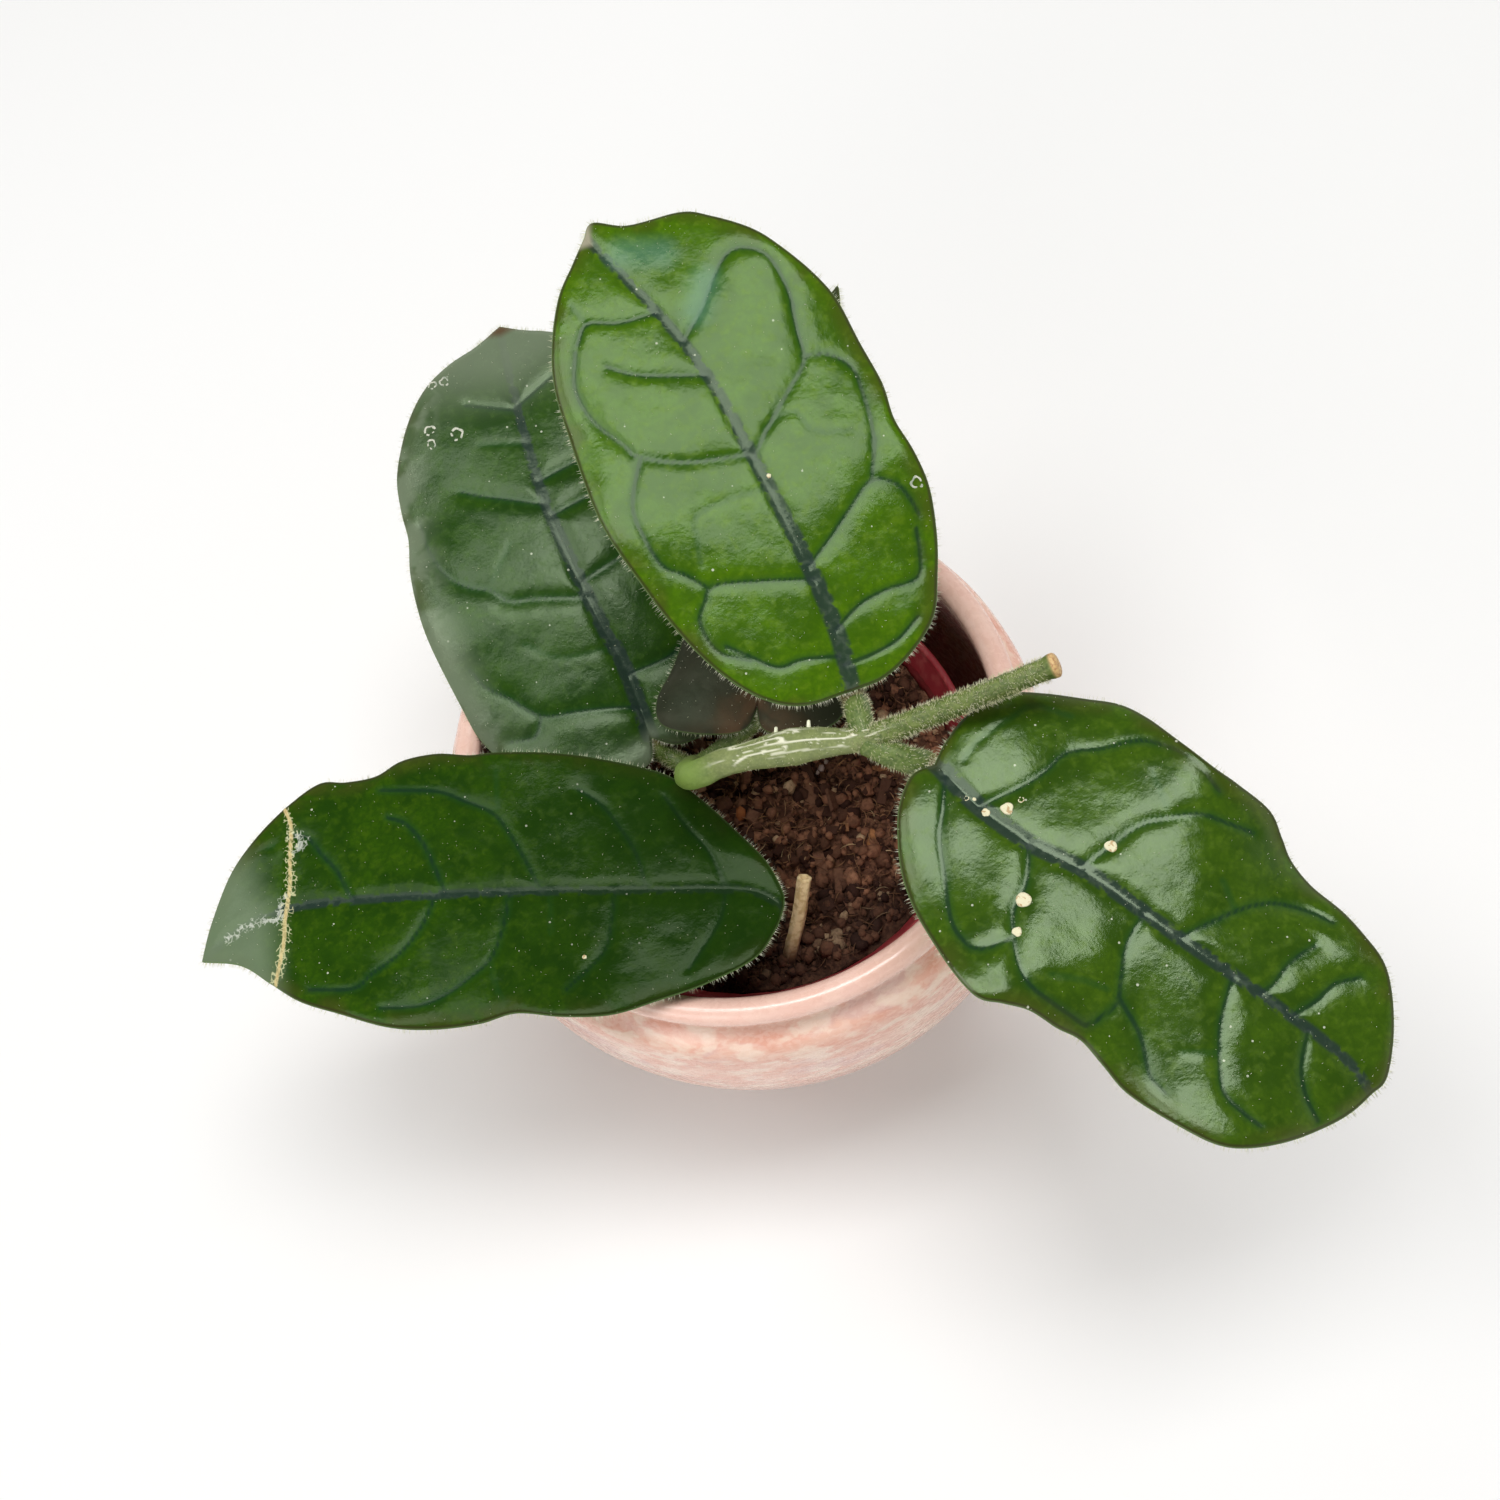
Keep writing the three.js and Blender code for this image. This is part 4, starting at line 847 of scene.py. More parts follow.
def scarred(skin, colour, place):
    """A healed tear: a pale yellow seam with a lacy edge, a reddish middle in places, and a net of white
    cracks towards the tip. The grey tip is painted sheen, and the darker base half is painted shade."""
    lace = skin.group(NET, Vector=place, Size=1.1, Width=0.14)
    wander = skin.group(PATCHES, Vector=place, Size=1.6, Low=0.35, High=0.65)
    # Painted sheen: the tip turns grey.
    tip = skin.ramp(skin.field("along"), 0.82, 0.9)
    colour = skin.mix(skin.math("MULTIPLY", tip, 0.75), colour, (0.16, 0.215, 0.13))
    # Painted shade: the base half turns a darker green.
    shade = skin.math("MULTIPLY", skin.ramp(skin.field("along"), 0.7, 0.15), 0.72)
    colour = skin.mix(shade, colour, (0.008, 0.026, 0.003))
    edge = skin.math("ADD", skin.field("crack"), skin.ramp(wander, 0.0, 1.0, -0.5, 0.5))
    web = skin.math("MULTIPLY", skin.group(LINE, Distance=edge, Width=0.6, Softness=0.6), lace)
    colour = skin.mix(skin.math("MULTIPLY", web, 0.6), colour, (0.6, 0.64, 0.53))
    crack = skin.group(LINE, Distance=edge, Width=0.1, Softness=0.4)
    colour = skin.mix(skin.math("MULTIPLY", crack, 0.5), colour, (0.6, 0.62, 0.55))
    edge = skin.math("ADD", skin.field("scar"), skin.ramp(wander, 0.0, 1.0, -0.6, 0.6))
    beads = skin.math("MULTIPLY", skin.group(LINE, Distance=edge, Width=0.8, Softness=0.4), lace)
    colour = skin.mix(skin.math("MULTIPLY", beads, 0.8), colour, (0.6, 0.6, 0.34))
    seam = skin.group(LINE, Distance=skin.field("scar"), Width=0.22, Softness=0.4)
    colour = skin.mix(skin.math("MULTIPLY", seam, 0.85), colour, (0.62, 0.5, 0.24))
    middle = skin.group(LINE, Distance=skin.field("scar"), Width=0.0, Softness=0.25)
    reddish = skin.math("MULTIPLY", middle, skin.ramp(wander, 0.0, 1.0, 0.2, 0.8))
    return skin.mix(reddish, colour, (0.4, 0.2, 0.08))


print("marks:", [mark.__name__ for mark in (pale_tip, brown_tip, shaded_base, scarred)])

# %% [markdown]
# ## Hairs
# The whole plant is downy: pale hairs fringe each leaf, and shorter ones stand on it.
# Blender's hair curves would be quick, but a part for reuse must be plain meshes. So each
# hair is a needle of four points, and all needles of a leaf are worked out at once.

# %% Hairs
HAIR_THICKNESS = 0.13


def needles(roots, ways, lengths, thickness):
    """Three-sided needles. Each has a triangle of points round its root, in the plane
    across its way, and one point at its tip."""
    ways = unit(ways)
    helper = np.where(np.abs(ways[:, 2:]) > 0.8, [[1.0, 0, 0]], [[0, 0, 1.0]])
    side = unit(np.cross(ways, helper))
    other = np.cross(ways, side)
    turns = np.arange(3) * 2 * np.pi / 3
    ring = side[:, None] * np.cos(turns)[:, None] + other[:, None] * np.sin(turns)[:, None]
    tips = roots + ways * np.asarray(lengths)[:, None]
    points = np.concatenate([roots[:, None] + ring * thickness / 2, tips[:, None]], axis=1)
    one = np.array([[0, 1, 3], [1, 2, 3], [2, 0, 3], [0, 2, 1]])
    faces = (one + 4 * np.arange(len(roots))[:, None, None]).reshape(-1, 3)
    return points.reshape(-1, 3), [faces]


def leaf_hairs(leaf, sheet, edge_ring, margin_count, face_count, seed):
    """Needles that stand out from the margin, and short ones on the upper face."""
    random = np.random.default_rng(seed)
    ring = edge_ring["points"]
    pick = random.integers(0, len(ring), margin_count)
    slide = random.random((margin_count, 1))
    roots = ring[pick] * slide + ring[(pick + 1) % len(ring)] * (1 - slide)
    ways = edge_ring["outward"][pick] + random.normal(0, 0.13, (margin_count, 3))
    lengths = random.uniform(1.0, 1.7, margin_count)
    normal = np.cross(np.gradient(sheet, axis=0), np.gradient(sheet, axis=1))
    normal *= np.sign(normal[..., 2:]) + (normal[..., 2:] == 0)
    area = np.linalg.norm(normal, axis=-1).ravel()
    chosen = random.choice(area.size, face_count, p=area / area.sum())
    row, column = np.unravel_index(chosen, sheet.shape[:2])
    ways = np.concatenate([ways, unit(normal[row, column]) + random.normal(0, 0.45, (face_count, 3))])
    roots = np.concatenate([roots, sheet[row, column]])
    lengths = np.concatenate([lengths, random.uniform(0.2, 0.5, face_count)])
    return needles(roots, ways, lengths, HAIR_THICKNESS)


def hair_finish(name, root, tip):
    """Dull hairs whose colour drifts between two values."""
    hair = Finish(name, roughness=0.6)
    shade = hair.group(PATCHES, Vector=hair.place(), Size=3, Low=0.35, High=0.65)
    return hair.set(colour=hair.mix(shade, root, tip))


# %% [markdown]
# ## Leaves
# The five leaves share one recipe and differ in their measures and colours: the upper two are young and
# bright, the lower ones darker, being older and with painted shade from the leaves above, and the hidden
# one is dull. Each blade takes the place of its CAD solid. Its hairs ride along without replacing
# anything.

# %% Leaves
LEAF_COLOURS = {
    "leaf_a": dict(fresh=(0.058, 0.138, 0.003), deep=(0.036, 0.094, 0.003), bright=(0.1, 0.185, 0.004),
                   rib_width=1.05, gloss=0.2, marks=pale_tip),
    # The colours of the lower leaves b and c hold painted shade from the leaves above.
    "leaf_b": dict(fresh=(0.024, 0.068, 0.005), deep=(0.014, 0.046, 0.005), bright=(0.036, 0.09, 0.006),
                   gloss=0.25, dull=0.06, marks=brown_tip),
    "leaf_c": dict(fresh=(0.025, 0.07, 0.003), deep=(0.013, 0.044, 0.003), bright=(0.046, 0.1, 0.003),
                   rib_width=0.3, gloss=0.07, marks=scarred),
    "leaf_d": dict(fresh=(0.043, 0.095, 0.005), deep=(0.025, 0.063, 0.004), bright=(0.073, 0.135, 0.007),
                   gloss=0.33),
    "leaf_e": dict(fresh=(0.04, 0.12, 0.01), deep=(0.026, 0.085, 0.008), bright=(0.07, 0.16, 0.012),
                   gloss=0.14, dull=0.25, marks=shaded_base),
}
leaf_hair = hair_finish("leaf_hair", (0.6, 0.63, 0.4), (0.9, 0.9, 0.7))
sheets = {}
for number, (name, leaf) in enumerate(LEAVES.items()):
    points, faces, fields, sheets[name], edge_ring = blade(leaf, 10 * number)
    skin = leaf_skin(name + "_skin", **LEAF_COLOURS[name])
    new_piece(name + "_blade", on_leaf(leaf, points), faces, skin.material, [name], fields)
    hair_points, hair_faces = leaf_hairs(leaf, sheets[name], edge_ring, 750, 500, number)
    new_piece(name + "_hairs", on_leaf(leaf, hair_points), hair_faces, leaf_hair)

# %% [markdown]
# ## Dabs on the leaves
# Some cells of the skin have died back to small cork spots: a cream disc with a tan
# middle, or only a broken pale ring. They could be drawn in the skin's material, but in
# the photograph they stand up and catch the light. So each is a little mound or ring of
# points that lies on the blade, with an uneven edge.

# %% Cork spots
SPOT_POINTS = 28


def frame_on_sheet(sheet, x, y):
    """The point of the sheet nearest to (x, y), two ways along it and its normal. The
    normal stands across the two lines through the neighbours on either side."""
    apart = ((sheet[..., :2] - [x, y])**2).sum(axis=-1)
    row, column = np.unravel_index(apart.argmin(), apart.shape)
    lengthwise = sheet[row + 1, column] - sheet[row - 1, column]
    sideways = sheet[row, column + 1] - sheet[row, column - 1]
    normal = np.cross(lengthwise, sideways)
    normal = unit(normal * np.sign(normal[2]))
    side = unit(np.cross(normal, [0, 1, 0]))
    return sheet[row, column], side, np.cross(normal, side), normal


def spot(sheet, x, y, radius, kind, seed):
    """A low mound or a ring on the blade: a short list of (reach, height) turned about
    the blade's normal, with a few waves in its reach. A ring also sinks in places."""
    centre, side, other, normal = frame_on_sheet(sheet, x, y)
    section = {"disc": [(1, -0.12), (0.92, 0.2), (0.7, 0.3), (0.4, 0.16), (0.15, 0.12)],
               "ring": [(1, -0.12), (0.9, 0.16), (0.65, 0.18), (0.52, -0.12)]}[kind]
    section = np.array(section)
    turn = np.linspace(0, 2 * np.pi, SPOT_POINTS, endpoint=False)
    wave = np.random.default_rng(seed).uniform(-1, 1, 4)
    wave = wave * {"disc": 0.11, "ring": 0.14}[kind]
    sunk = 0 if kind == "disc" else 0.13 * (1 + np.cos(2 * turn + 6 * wave[3]) * np.cos(3 * turn))
    uneven = 1 + wave[0] * np.cos(2 * turn) + wave[1] * np.sin(3 * turn)
    uneven = uneven + 0.5 * wave[2] * np.cos(5 * turn + 1)
    reach = radius * section[:, :1] * uneven
    round_way = side * np.cos(turn)[:, None] + other * np.sin(turn)[:, None]
    points = centre + reach[..., None] * round_way + (section[:, 1:] - sunk)[..., None] * normal
    count = len(section) * SPOT_POINTS
    number = np.arange(count).reshape(-1, SPOT_POINTS)
    after = np.roll(number, -1, axis=1)
    if kind == "disc":
        faces = [np.stack([number[:-1], after[:-1], after[1:], number[1:]], axis=-1).reshape(-1, 4)]
        faces.append(np.stack([np.full(SPOT_POINTS, count), number[-1], after[-1]], axis=-1))
        faces.append(np.stack([np.full(SPOT_POINTS, count + 1), after[0], number[0]], axis=-1))
        poles = [centre + 0.1 * normal, centre - 0.12 * normal]
        return np.concatenate([points.reshape(-1, 3), poles]), faces
    below, beyond = np.roll(number, -1, axis=0), np.roll(after, -1, axis=0)
    return points.reshape(-1, 3), [np.stack([number, after, beyond, below], axis=-1).reshape(-1, 4)]


cork_spot = Finish("cork_spot", roughness=0.75, specular=0.2)
place = cork_spot.place()
tan = cork_spot.group(PATCHES, Vector=place, Size=0.9, Low=0.5, High=0.6)
cork_spot.set(
    colour=cork_spot.mix(tan, (0.74, 0.7, 0.48), (0.5, 0.36, 0.19)),
    normal=cork_spot.bump(cork_spot.group(GRAIN, Vector=place, Size=0.4), 0.15),
)
pale_ring = Finish("pale_ring", roughness=0.6, specular=0.25)
faded = pale_ring.group(PATCHES, Vector=pale_ring.place(), Size=1.2, Low=0.4, High=0.6)
pale_ring.set(colour=pale_ring.mix(faded, (0.32, 0.36, 0.28), (0.58, 0.58, 0.48)))
for name, leaf in LEAVES.items():
    for number, (x, y, radius, kind) in enumerate(leaf.get("dabs", [])):
        points, faces = spot(sheets[name], x, y, radius, kind, number)
        finish = cork_spot if name == "leaf_d" or kind == "disc" else pale_ring
        new_piece(f"{name}_spot_{number + 1}", on_leaf(leaf, points), faces, finish.material)

# %% [markdown]
# ## Stem and leaf stalks
# A stem is a round section carried along a smooth line. A curve object with a bevel gives
# that too, but its surface can't swell, split or wear a ridge. So each ring of points is
# worked out here, and its radius takes any relief. An end closes with rings that shrink
# to one point, or with a bore that goes back into it.

# %% A section carried along a line


def carried(points, radii, reference, rings=160, around=28, crown=0.5, bore=None, relief=None):
    """A closed stalk. Each ring is a circle across the line, with a radius taken between
    the given ones, spread evenly over the length. Rings on a quarter circle, flattened
    by crown, close each end, or a bore of (radius, depth) goes back into the far end."""
    shares = np.linspace(0, 1, rings)
    centre = smooth_line(points, shares)
    way = unit(np.gradient(centre, axis=0))
    radius = np.interp(shares, np.linspace(0, 1, len(radii)), radii)
    length = np.linalg.norm(np.diff(centre, axis=0), axis=1).sum()
    turns = np.linspace(0, np.pi / 2, 6)[1:-1]
    start = [(0, -crown * radii[0] * math.sin(t), radii[0] * math.cos(t)) for t in turns[::-1]]
    if bore:
        lip = (radii[-1] + bore[0]) / 2
        end = [(-1, 0.15, lip), (-1, 0, bore[0])]
        end += [(-1, -bore[1] * step / 4, bore[0]) for step in range(1, 5)]
    else:
        end = [(-1, crown * radii[-1] * math.sin(t), radii[-1] * math.cos(t)) for t in turns]
    at = np.array([which for which, _, _ in start] + list(range(rings)) + [which for which, _, _ in end])
    push = np.array([value for _, value, _ in start] + [0] * rings + [value for _, value, _ in end])
    wide = np.array([value for _, _, value in start] + list(radius) + [value for _, _, value in end])
    middle = centre[at] + way[at] * push[:, None]
    run = np.where(at < 0, length, at / (rings - 1) * length) + push
    turn = np.linspace(0, 2 * np.pi, around, endpoint=False)
    side = unit(np.asarray(reference) - way[at] * (way[at] @ reference)[:, None])
    other = np.cross(way[at], side)
    out = side[:, None] * np.cos(turn)[:, None] + other[:, None] * np.sin(turn)[:, None]
    grow = 0 if relief is None else relief(run[:, None], turn[None, :], out)
    reach = wide[:, None] + grow * (wide > radii[-1] * 0.5)[:, None]
    shape = middle[:, None] + out * reach[..., None]
    far_pole = middle[-1] + (0 if bore else 0.06) * way[-1]
    poles = np.stack([centre[0] - way[0] * crown * radii[0], far_pole])
    rows = len(at)
    number = np.arange(rows * around).reshape(rows, around)
    after = np.roll(number, -1, axis=1)
    corners = [number[:-1], after[:-1], after[1:], number[1:]]
    quads = np.stack(corners, axis=-1).reshape(-1, 4)
    first = np.stack([np.full(around, rows * around), after[0], number[0]], axis=-1)
    last = np.stack([np.full(around, rows * around + 1), number[-1], after[-1]], axis=-1)
    fields = {
        "run": np.r_[np.repeat(run, around), run[0], run[-1]],
        "up": np.r_[out[..., 2].ravel(), 0, 0],
        "turn": np.r_[np.tile(turn, rows), 0, 0],
    }
    body = slice(len(start), len(start) + rings)
    skin = {"points": shape[body], "out": out[body], "way": way, "length": length}
    faces = [quads, np.concatenate([first, last])]
    return np.concatenate([shape.reshape(-1, 3), poles]), faces, fields, skin


def stem_hairs(skin, count, longest, seed, start=0.0, end=1.0, lean=0.3):
    """Needles that stand out from a carried stalk between two shares of its length."""
    random = np.random.default_rng(seed)
    rings = len(skin["points"])
    row = random.integers(int(start * (rings - 1)), int(end * (rings - 1)) + 1, count)
    column = random.integers(0, skin["points"].shape[1], count)
    slide = random.uniform(-0.5, 0.5, (count, 1)) * skin["length"] / rings
    roots = skin["points"][row, column] + skin["way"][row] * slide
    ways = skin["out"][row, column] + skin["way"][row] * lean + random.normal(0, 0.28, (count, 3))
    return needles(roots, ways, random.uniform(0.45, 1, count) * longest, HAIR_THICKNESS)


# %% [markdown]
# ## Stem measures
# The main stem rises behind the leaves, bends forward and runs to the right, where it was
# cut. The stalks leave it in pairs. The points and radii are those of the CAD solids, so
# that a leaf's seat still lies in its stalk. A stalk ends flat under its blade.

# %% Stem measures, in millimetres
MAIN_STEM = dict(
    points=[(-12, 14, 48), (-11.9, 11, 74), (-11.2, 2.6, 96), (-10.5, -7.6, 119), (-10.9, -16.2, 136.5),
            (-8.1, -19.2, 142.4), (-1.5, -19.7, 144.8), (13.8, -23.2, 148.8), (25.7, -27.3, 152),
            (38.2, -28.2, 155), (52.1, -29.4, 160), (64.5, -30.1, 164)],
    radii=[3.2, 3.2, 3.2, 3.2, 3.3, 3.4, 3.5, 3.4, 3.2, 3, 2.9, 3.9, 2.6, 2.4, 2.3, 2.2, 2.2],
    reference=(0, 1, 0),
)
DRY_STUB = dict(
    points=[(-3.6, -41, 60), (-3.1, -44, 82), (2, -38, 91.5), (5.9, -32.2, 99)],
    radii=[1.9, 1.8, 1.6, 1.6], reference=(1, 0, 0), bore=(0.8, 5),
)
SEAT_INSET = 2.5
GAP = 0.3


def seat_under(leaf, radius):
    """The stalk's last two points: they lie under the blade's base, in the leaf's axes."""
    depth = BLADE_THICKNESS + GAP / 2 + radius
    return [tuple(on_leaf(leaf, np.array([x, 0, -depth]))) for x in (-SEAT_INSET, SEAT_INSET)]


STALKS = {
    "petiole_a": dict(points=[(25.7, -27.3, 152), (26.2, -21, 152), *seat_under(LEAVES["leaf_a"], 2.5)],
                      radii=[2.6, 2.7, 2.5, 2.5], reference=(1, 0, 0)),
    "petiole_b": dict(points=[(-11, 0.2, 101.5), (-15.2, 5.2, 102), *seat_under(LEAVES["leaf_b"], 2.1)],
                      radii=[2.8, 2.3, 2.1, 2.1], reference=(1, 0, 0)),
    "petiole_c": dict(points=[(-10.5, -34, 60), (-8.5, -35.5, 86), (-5.8, -38.6, 101),
                              tuple(on_leaf(LEAVES["leaf_c"], np.array([5, -2.2, -1.15])))],
                      radii=[2.3, 2.3, 2.2, 2], reference=(1, 0, 0)),
    "petiole_d": dict(points=[(25.7, -28.2, 151.6), (32.4, -33.4, 149.4),
                              *seat_under(LEAVES["leaf_d"], 2.5)],
                      radii=[2.6, 2.9, 2.6, 2.5], reference=(0, 0, 1)),
    "petiole_e": dict(points=[(-11, 0.2, 101.5), (-4, 0.6, 107), *seat_under(LEAVES["leaf_e"], 2)],
                      radii=[2.8, 2.2, 2, 2], reference=(0, 0, 1)),
}

print("stalks:", list(STALKS))

# %% [markdown]
# ## Stem finishes
# Young stem and stalks are a soft green with faint streaks. The older stem is paler, with
# white splits of cork, and its cut end has healed to a tan callus. Two materials could do
# it. One is enough, because fields on the points say where the old part, the bend, the
# cork and the callus lie, and each only adds its layer there.

# %% Stem finishes


def stem_finish(name, fresh, shade, corky):
    """Green with soft lengthwise streaks. Where corky, white splits run along the top of
    the old part, and the cut end of the stem has a tan callus."""
    stem = Finish(name, specular=0.4)
    place = stem.place()
    streaks = stem.group(PATCHES, Vector=place, Size=2.5, Low=0.35, High=0.7)
    colour = stem.mix(streaks, fresh, shade)
    fine = stem.group(PATCHES, Vector=place, Size=0.6, Low=0.4, High=0.7)
    colour = stem.mix(stem.math("MULTIPLY", fine, 0.35), colour, (0.32, 0.36, 0.14))
    if corky:
        colour = stem.mix(stem.math("MULTIPLY", stem.field("old"), 0.35), colour, (0.33, 0.36, 0.16))
        colour = stem.mix(stem.math("MULTIPLY", stem.field("bend"), 0.8), colour, (0.18, 0.28, 0.05))
        colour = stem.mix(stem.field("cork"), colour, (0.78, 0.77, 0.6))
        dark = stem.mix(fine, (0.62, 0.42, 0.18), (0.36, 0.17, 0.07))
        colour = stem.mix(stem.field("callus"), colour, dark)
    else:
        colour = stem.mix(stem.math("MULTIPLY", stem.field("seat"), 0.7), colour, (0.22, 0.14, 0.06))
    normal = stem.bump(stem.group(GRAIN, Vector=place, Size=0.5), 0.1)
    return stem.set(colour=colour, roughness=stem.ramp(fine, 0.0, 1.0, 0.45, 0.6), normal=normal)


stem_skin = stem_finish("stem_skin", (0.115, 0.16, 0.028), (0.058, 0.095, 0.014), True)
stalk_skin = stem_finish("stalk_skin", (0.1, 0.155, 0.026), (0.055, 0.1, 0.015), False)
stem_hair = hair_finish("stem_hair", (0.62, 0.62, 0.34), (0.85, 0.82, 0.58))
print("finishes:", stem_skin.name, stalk_skin.name, stem_hair.name)

# %% [markdown]
# ## Main stem
# On the old part the skin has split lengthwise, and cork has filled the splits. Cuts made
# by hand would look even. The ridges of a noise that is stretched along the stem look
# grown. The young part wears long hairs that lean to the tip, the old one only a few.

# %% Main stem


def smooth_step(values, low, high):
    """0 below low, 1 above high, and an S-shaped rise between them."""
    share = np.clip((values - low) / (high - low), 0, 1)
    return share * share * (3 - 2 * share)


def cork(run, turn, out):
    """Splits of the old skin: thin ridges of a noise that is long along the stem, on its
    upper half and between the bend and the node."""
    ridge = 1 - np.abs(soft_noise(run / 13, turn * 5 + 0 * run, 1.0, 31))
    second = 1 - np.abs(soft_noise(run / 6, turn * 7 + 0 * run, 1.0, 32))
    on_top = smooth_step(out[..., 2], 0.45, 0.9)
    old = smooth_step(run, 103, 112) * (1 - smooth_step(run, 138, 146))
    splits = np.maximum(smooth_step(ridge, 0.9, 0.96), 0.8 * smooth_step(second, 0.93, 0.98))
    return splits * on_top * old


def stem_relief(run, turn, out):
    """Low lengthwise ribs, a rough skin, the corky splits and a swollen cut end."""
    rough = 0.07 * soft_noise(run, turn * 3, 1.1, 33) + 0.05 * np.sin(5 * turn + 0.05 * run)
    callus = 0.35 * smooth_step(run, run.max() - 3.2, run.max() - 1.6)
    return rough + 0.16 * cork(run, turn, out) + callus


points, faces, fields, skin = carried(**MAIN_STEM, rings=520, around=72, crown=0.45, relief=stem_relief)
up = np.stack([0 * fields["up"], 0 * fields["up"], fields["up"]], axis=-1)
fields["cork"] = cork(fields["run"], fields["turn"], up)
fields["callus"] = smooth_step(fields["run"], skin["length"] - 0.9, skin["length"] - 0.3)
fields["old"] = smooth_step(fields["run"], 100, 110) * (1 - smooth_step(fields["run"], 136, 144))
fields["bend"] = smooth_step(fields["run"], 84, 94) * (1 - smooth_step(fields["run"], 101, 107))
print("main stem length", round(skin["length"], 1), "mm")
new_piece("main_stem_skin", points, faces, stem_skin, ["main_stem"], fields)
young = stem_hairs(skin, 2600, 1.2, 41, start=0.76, end=0.99)
old = stem_hairs(skin, 320, 0.5, 42, start=0.62, end=0.76)
new_piece("main_stem_hairs", young[0], young[1], stem_hair)
new_piece("old_stem_hairs", old[0], old[1], stem_hair)

# %% [markdown]
# ## Nubs
# Two root buds stand on the old stem, as pale nubs under two millimetres long. They could
# be cones. A short carried section is rounder at its tip, and the helper is already here.

# %% Nubs on the old stem
for number, root in enumerate(((8.9, -19.4, 148.6), (15.6, -21, 150.4))):
    line = [np.array(root) + rise * image_up for rise in (0, 0.9, 1.7)]
    points, faces, _, _ = carried(line, [0.5, 0.42, 0.36], (1, 0, 0), rings=12, around=14, crown=0.9)
    new_piece(f"stem_nub_{number + 1}", points, faces, leaf_hair)

# %% [markdown]
# ## Stalks
# A leaf stalk is short and thick and hairier than the stem, and it browns a little where
# it holds the blade. It is made as the stem is, and only its relief is simpler.

# %% Stalks


def stalk_relief(run, turn, out):
    """A skin that is rough by a noise over the run and the turn."""
    return 0.08 * soft_noise(run, turn * 2.2, 1.2, 51)


for number, (name, shape) in enumerate(STALKS.items()):
    points, faces, fields, skin = carried(**shape, rings=70, relief=stalk_relief)
    fields["seat"] = smooth_step(fields["run"], skin["length"] - 6, skin["length"] - 3)
    new_piece(name + "_skin", points, faces, stalk_skin, [name], fields)
    hair_points, hair_faces = stem_hairs(skin, 650, 1.1, 60 + number, start=0.1)
    new_piece(name + "_hairs", hair_points, hair_faces, stem_hair)

# %% [markdown]
# ## The dry stub
# Beside the one-leaf cutting stands the dry stump of an older stem, straw-coloured and
# hollow at its cut end, and browner towards the soil. It is a carried section as well,
# with six soft ribs round it and a bore, because a dark hollow end is what makes it look
# dry.

# %% Dry stub
straw = Finish("dry_straw", roughness=0.8)
place = straw.place()
height = straw.add("SeparateXYZ", {"Vector": place}).outputs["Z"]
fibres = straw.group(PATCHES, Vector=place, Size=1.2, Low=0.4, High=0.65)
colour = straw.mix(fibres, (0.92, 0.7, 0.4), (0.68, 0.47, 0.22))
colour = straw.mix(straw.ramp(height, 0.092, 0.083), colour, (0.1, 0.055, 0.03))
straw.set(colour=colour, normal=straw.bump(straw.group(GRAIN, Vector=place, Size=0.8), 0.3))


def stub_relief(run, turn, out):
    """Six ribs, and a skin that is rough by a noise over the run and the turn."""
    return 0.1 * np.cos(6 * turn) + 0.08 * soft_noise(run, turn * 2, 1.5, 71)


points, faces, _, _ = carried(**DRY_STUB, rings=90, relief=stub_relief)
new_piece("dry_stub_skin", points, faces, straw.material, ["dry_stub"])

# %% [markdown]
# ## Ceramic pot
# The pot is thrown clay: a small foot, a full belly, a shallow groove and a round lip. A
# Screw modifier would turn a profile too. Here the profile is turned in numpy, so that
# the radius can be a little uneven, as a thrown pot's is, and the ends close in poles.

# %% A profile turned about the upright axis


def turned(profile, segments, wobble=0.0, seed=0):
    """A closed turned surface. The profile is a list of (radius, height) from the axis
    underneath to the axis inside, and its end points become the two poles. The wobble
    is a soft unevenness of the radius."""
    profile = np.asarray(profile, float)
    radius, height = profile[1:-1, :1], profile[1:-1, 1:]
    turn = np.linspace(0, 2 * np.pi, segments, endpoint=False)[None, :]
    uneven = soft_noise(radius * np.cos(turn) + height, radius * np.sin(turn) + 2 * height, 14, seed)
    radius = radius + wobble * uneven
    shape = np.stack([radius * np.cos(turn), radius * np.sin(turn), height + 0 * turn], axis=-1)
    poles = np.array([[0, 0, profile[0, 1]], [0, 0, profile[-1, 1]]])
    number = np.arange(shape.shape[0] * segments).reshape(-1, segments)
    after = np.roll(number, -1, axis=1)
    quads = np.stack([number[:-1], after[:-1], after[1:], number[1:]], axis=-1).reshape(-1, 4)
    count = number.size
    first = np.stack([np.full(segments, count), after[0], number[0]], axis=-1)
    last = np.stack([np.full(segments, count + 1), number[-1], after[-1]], axis=-1)
    return np.concatenate([shape.reshape(-1, 3), poles]), [quads, np.concatenate([first, last])]
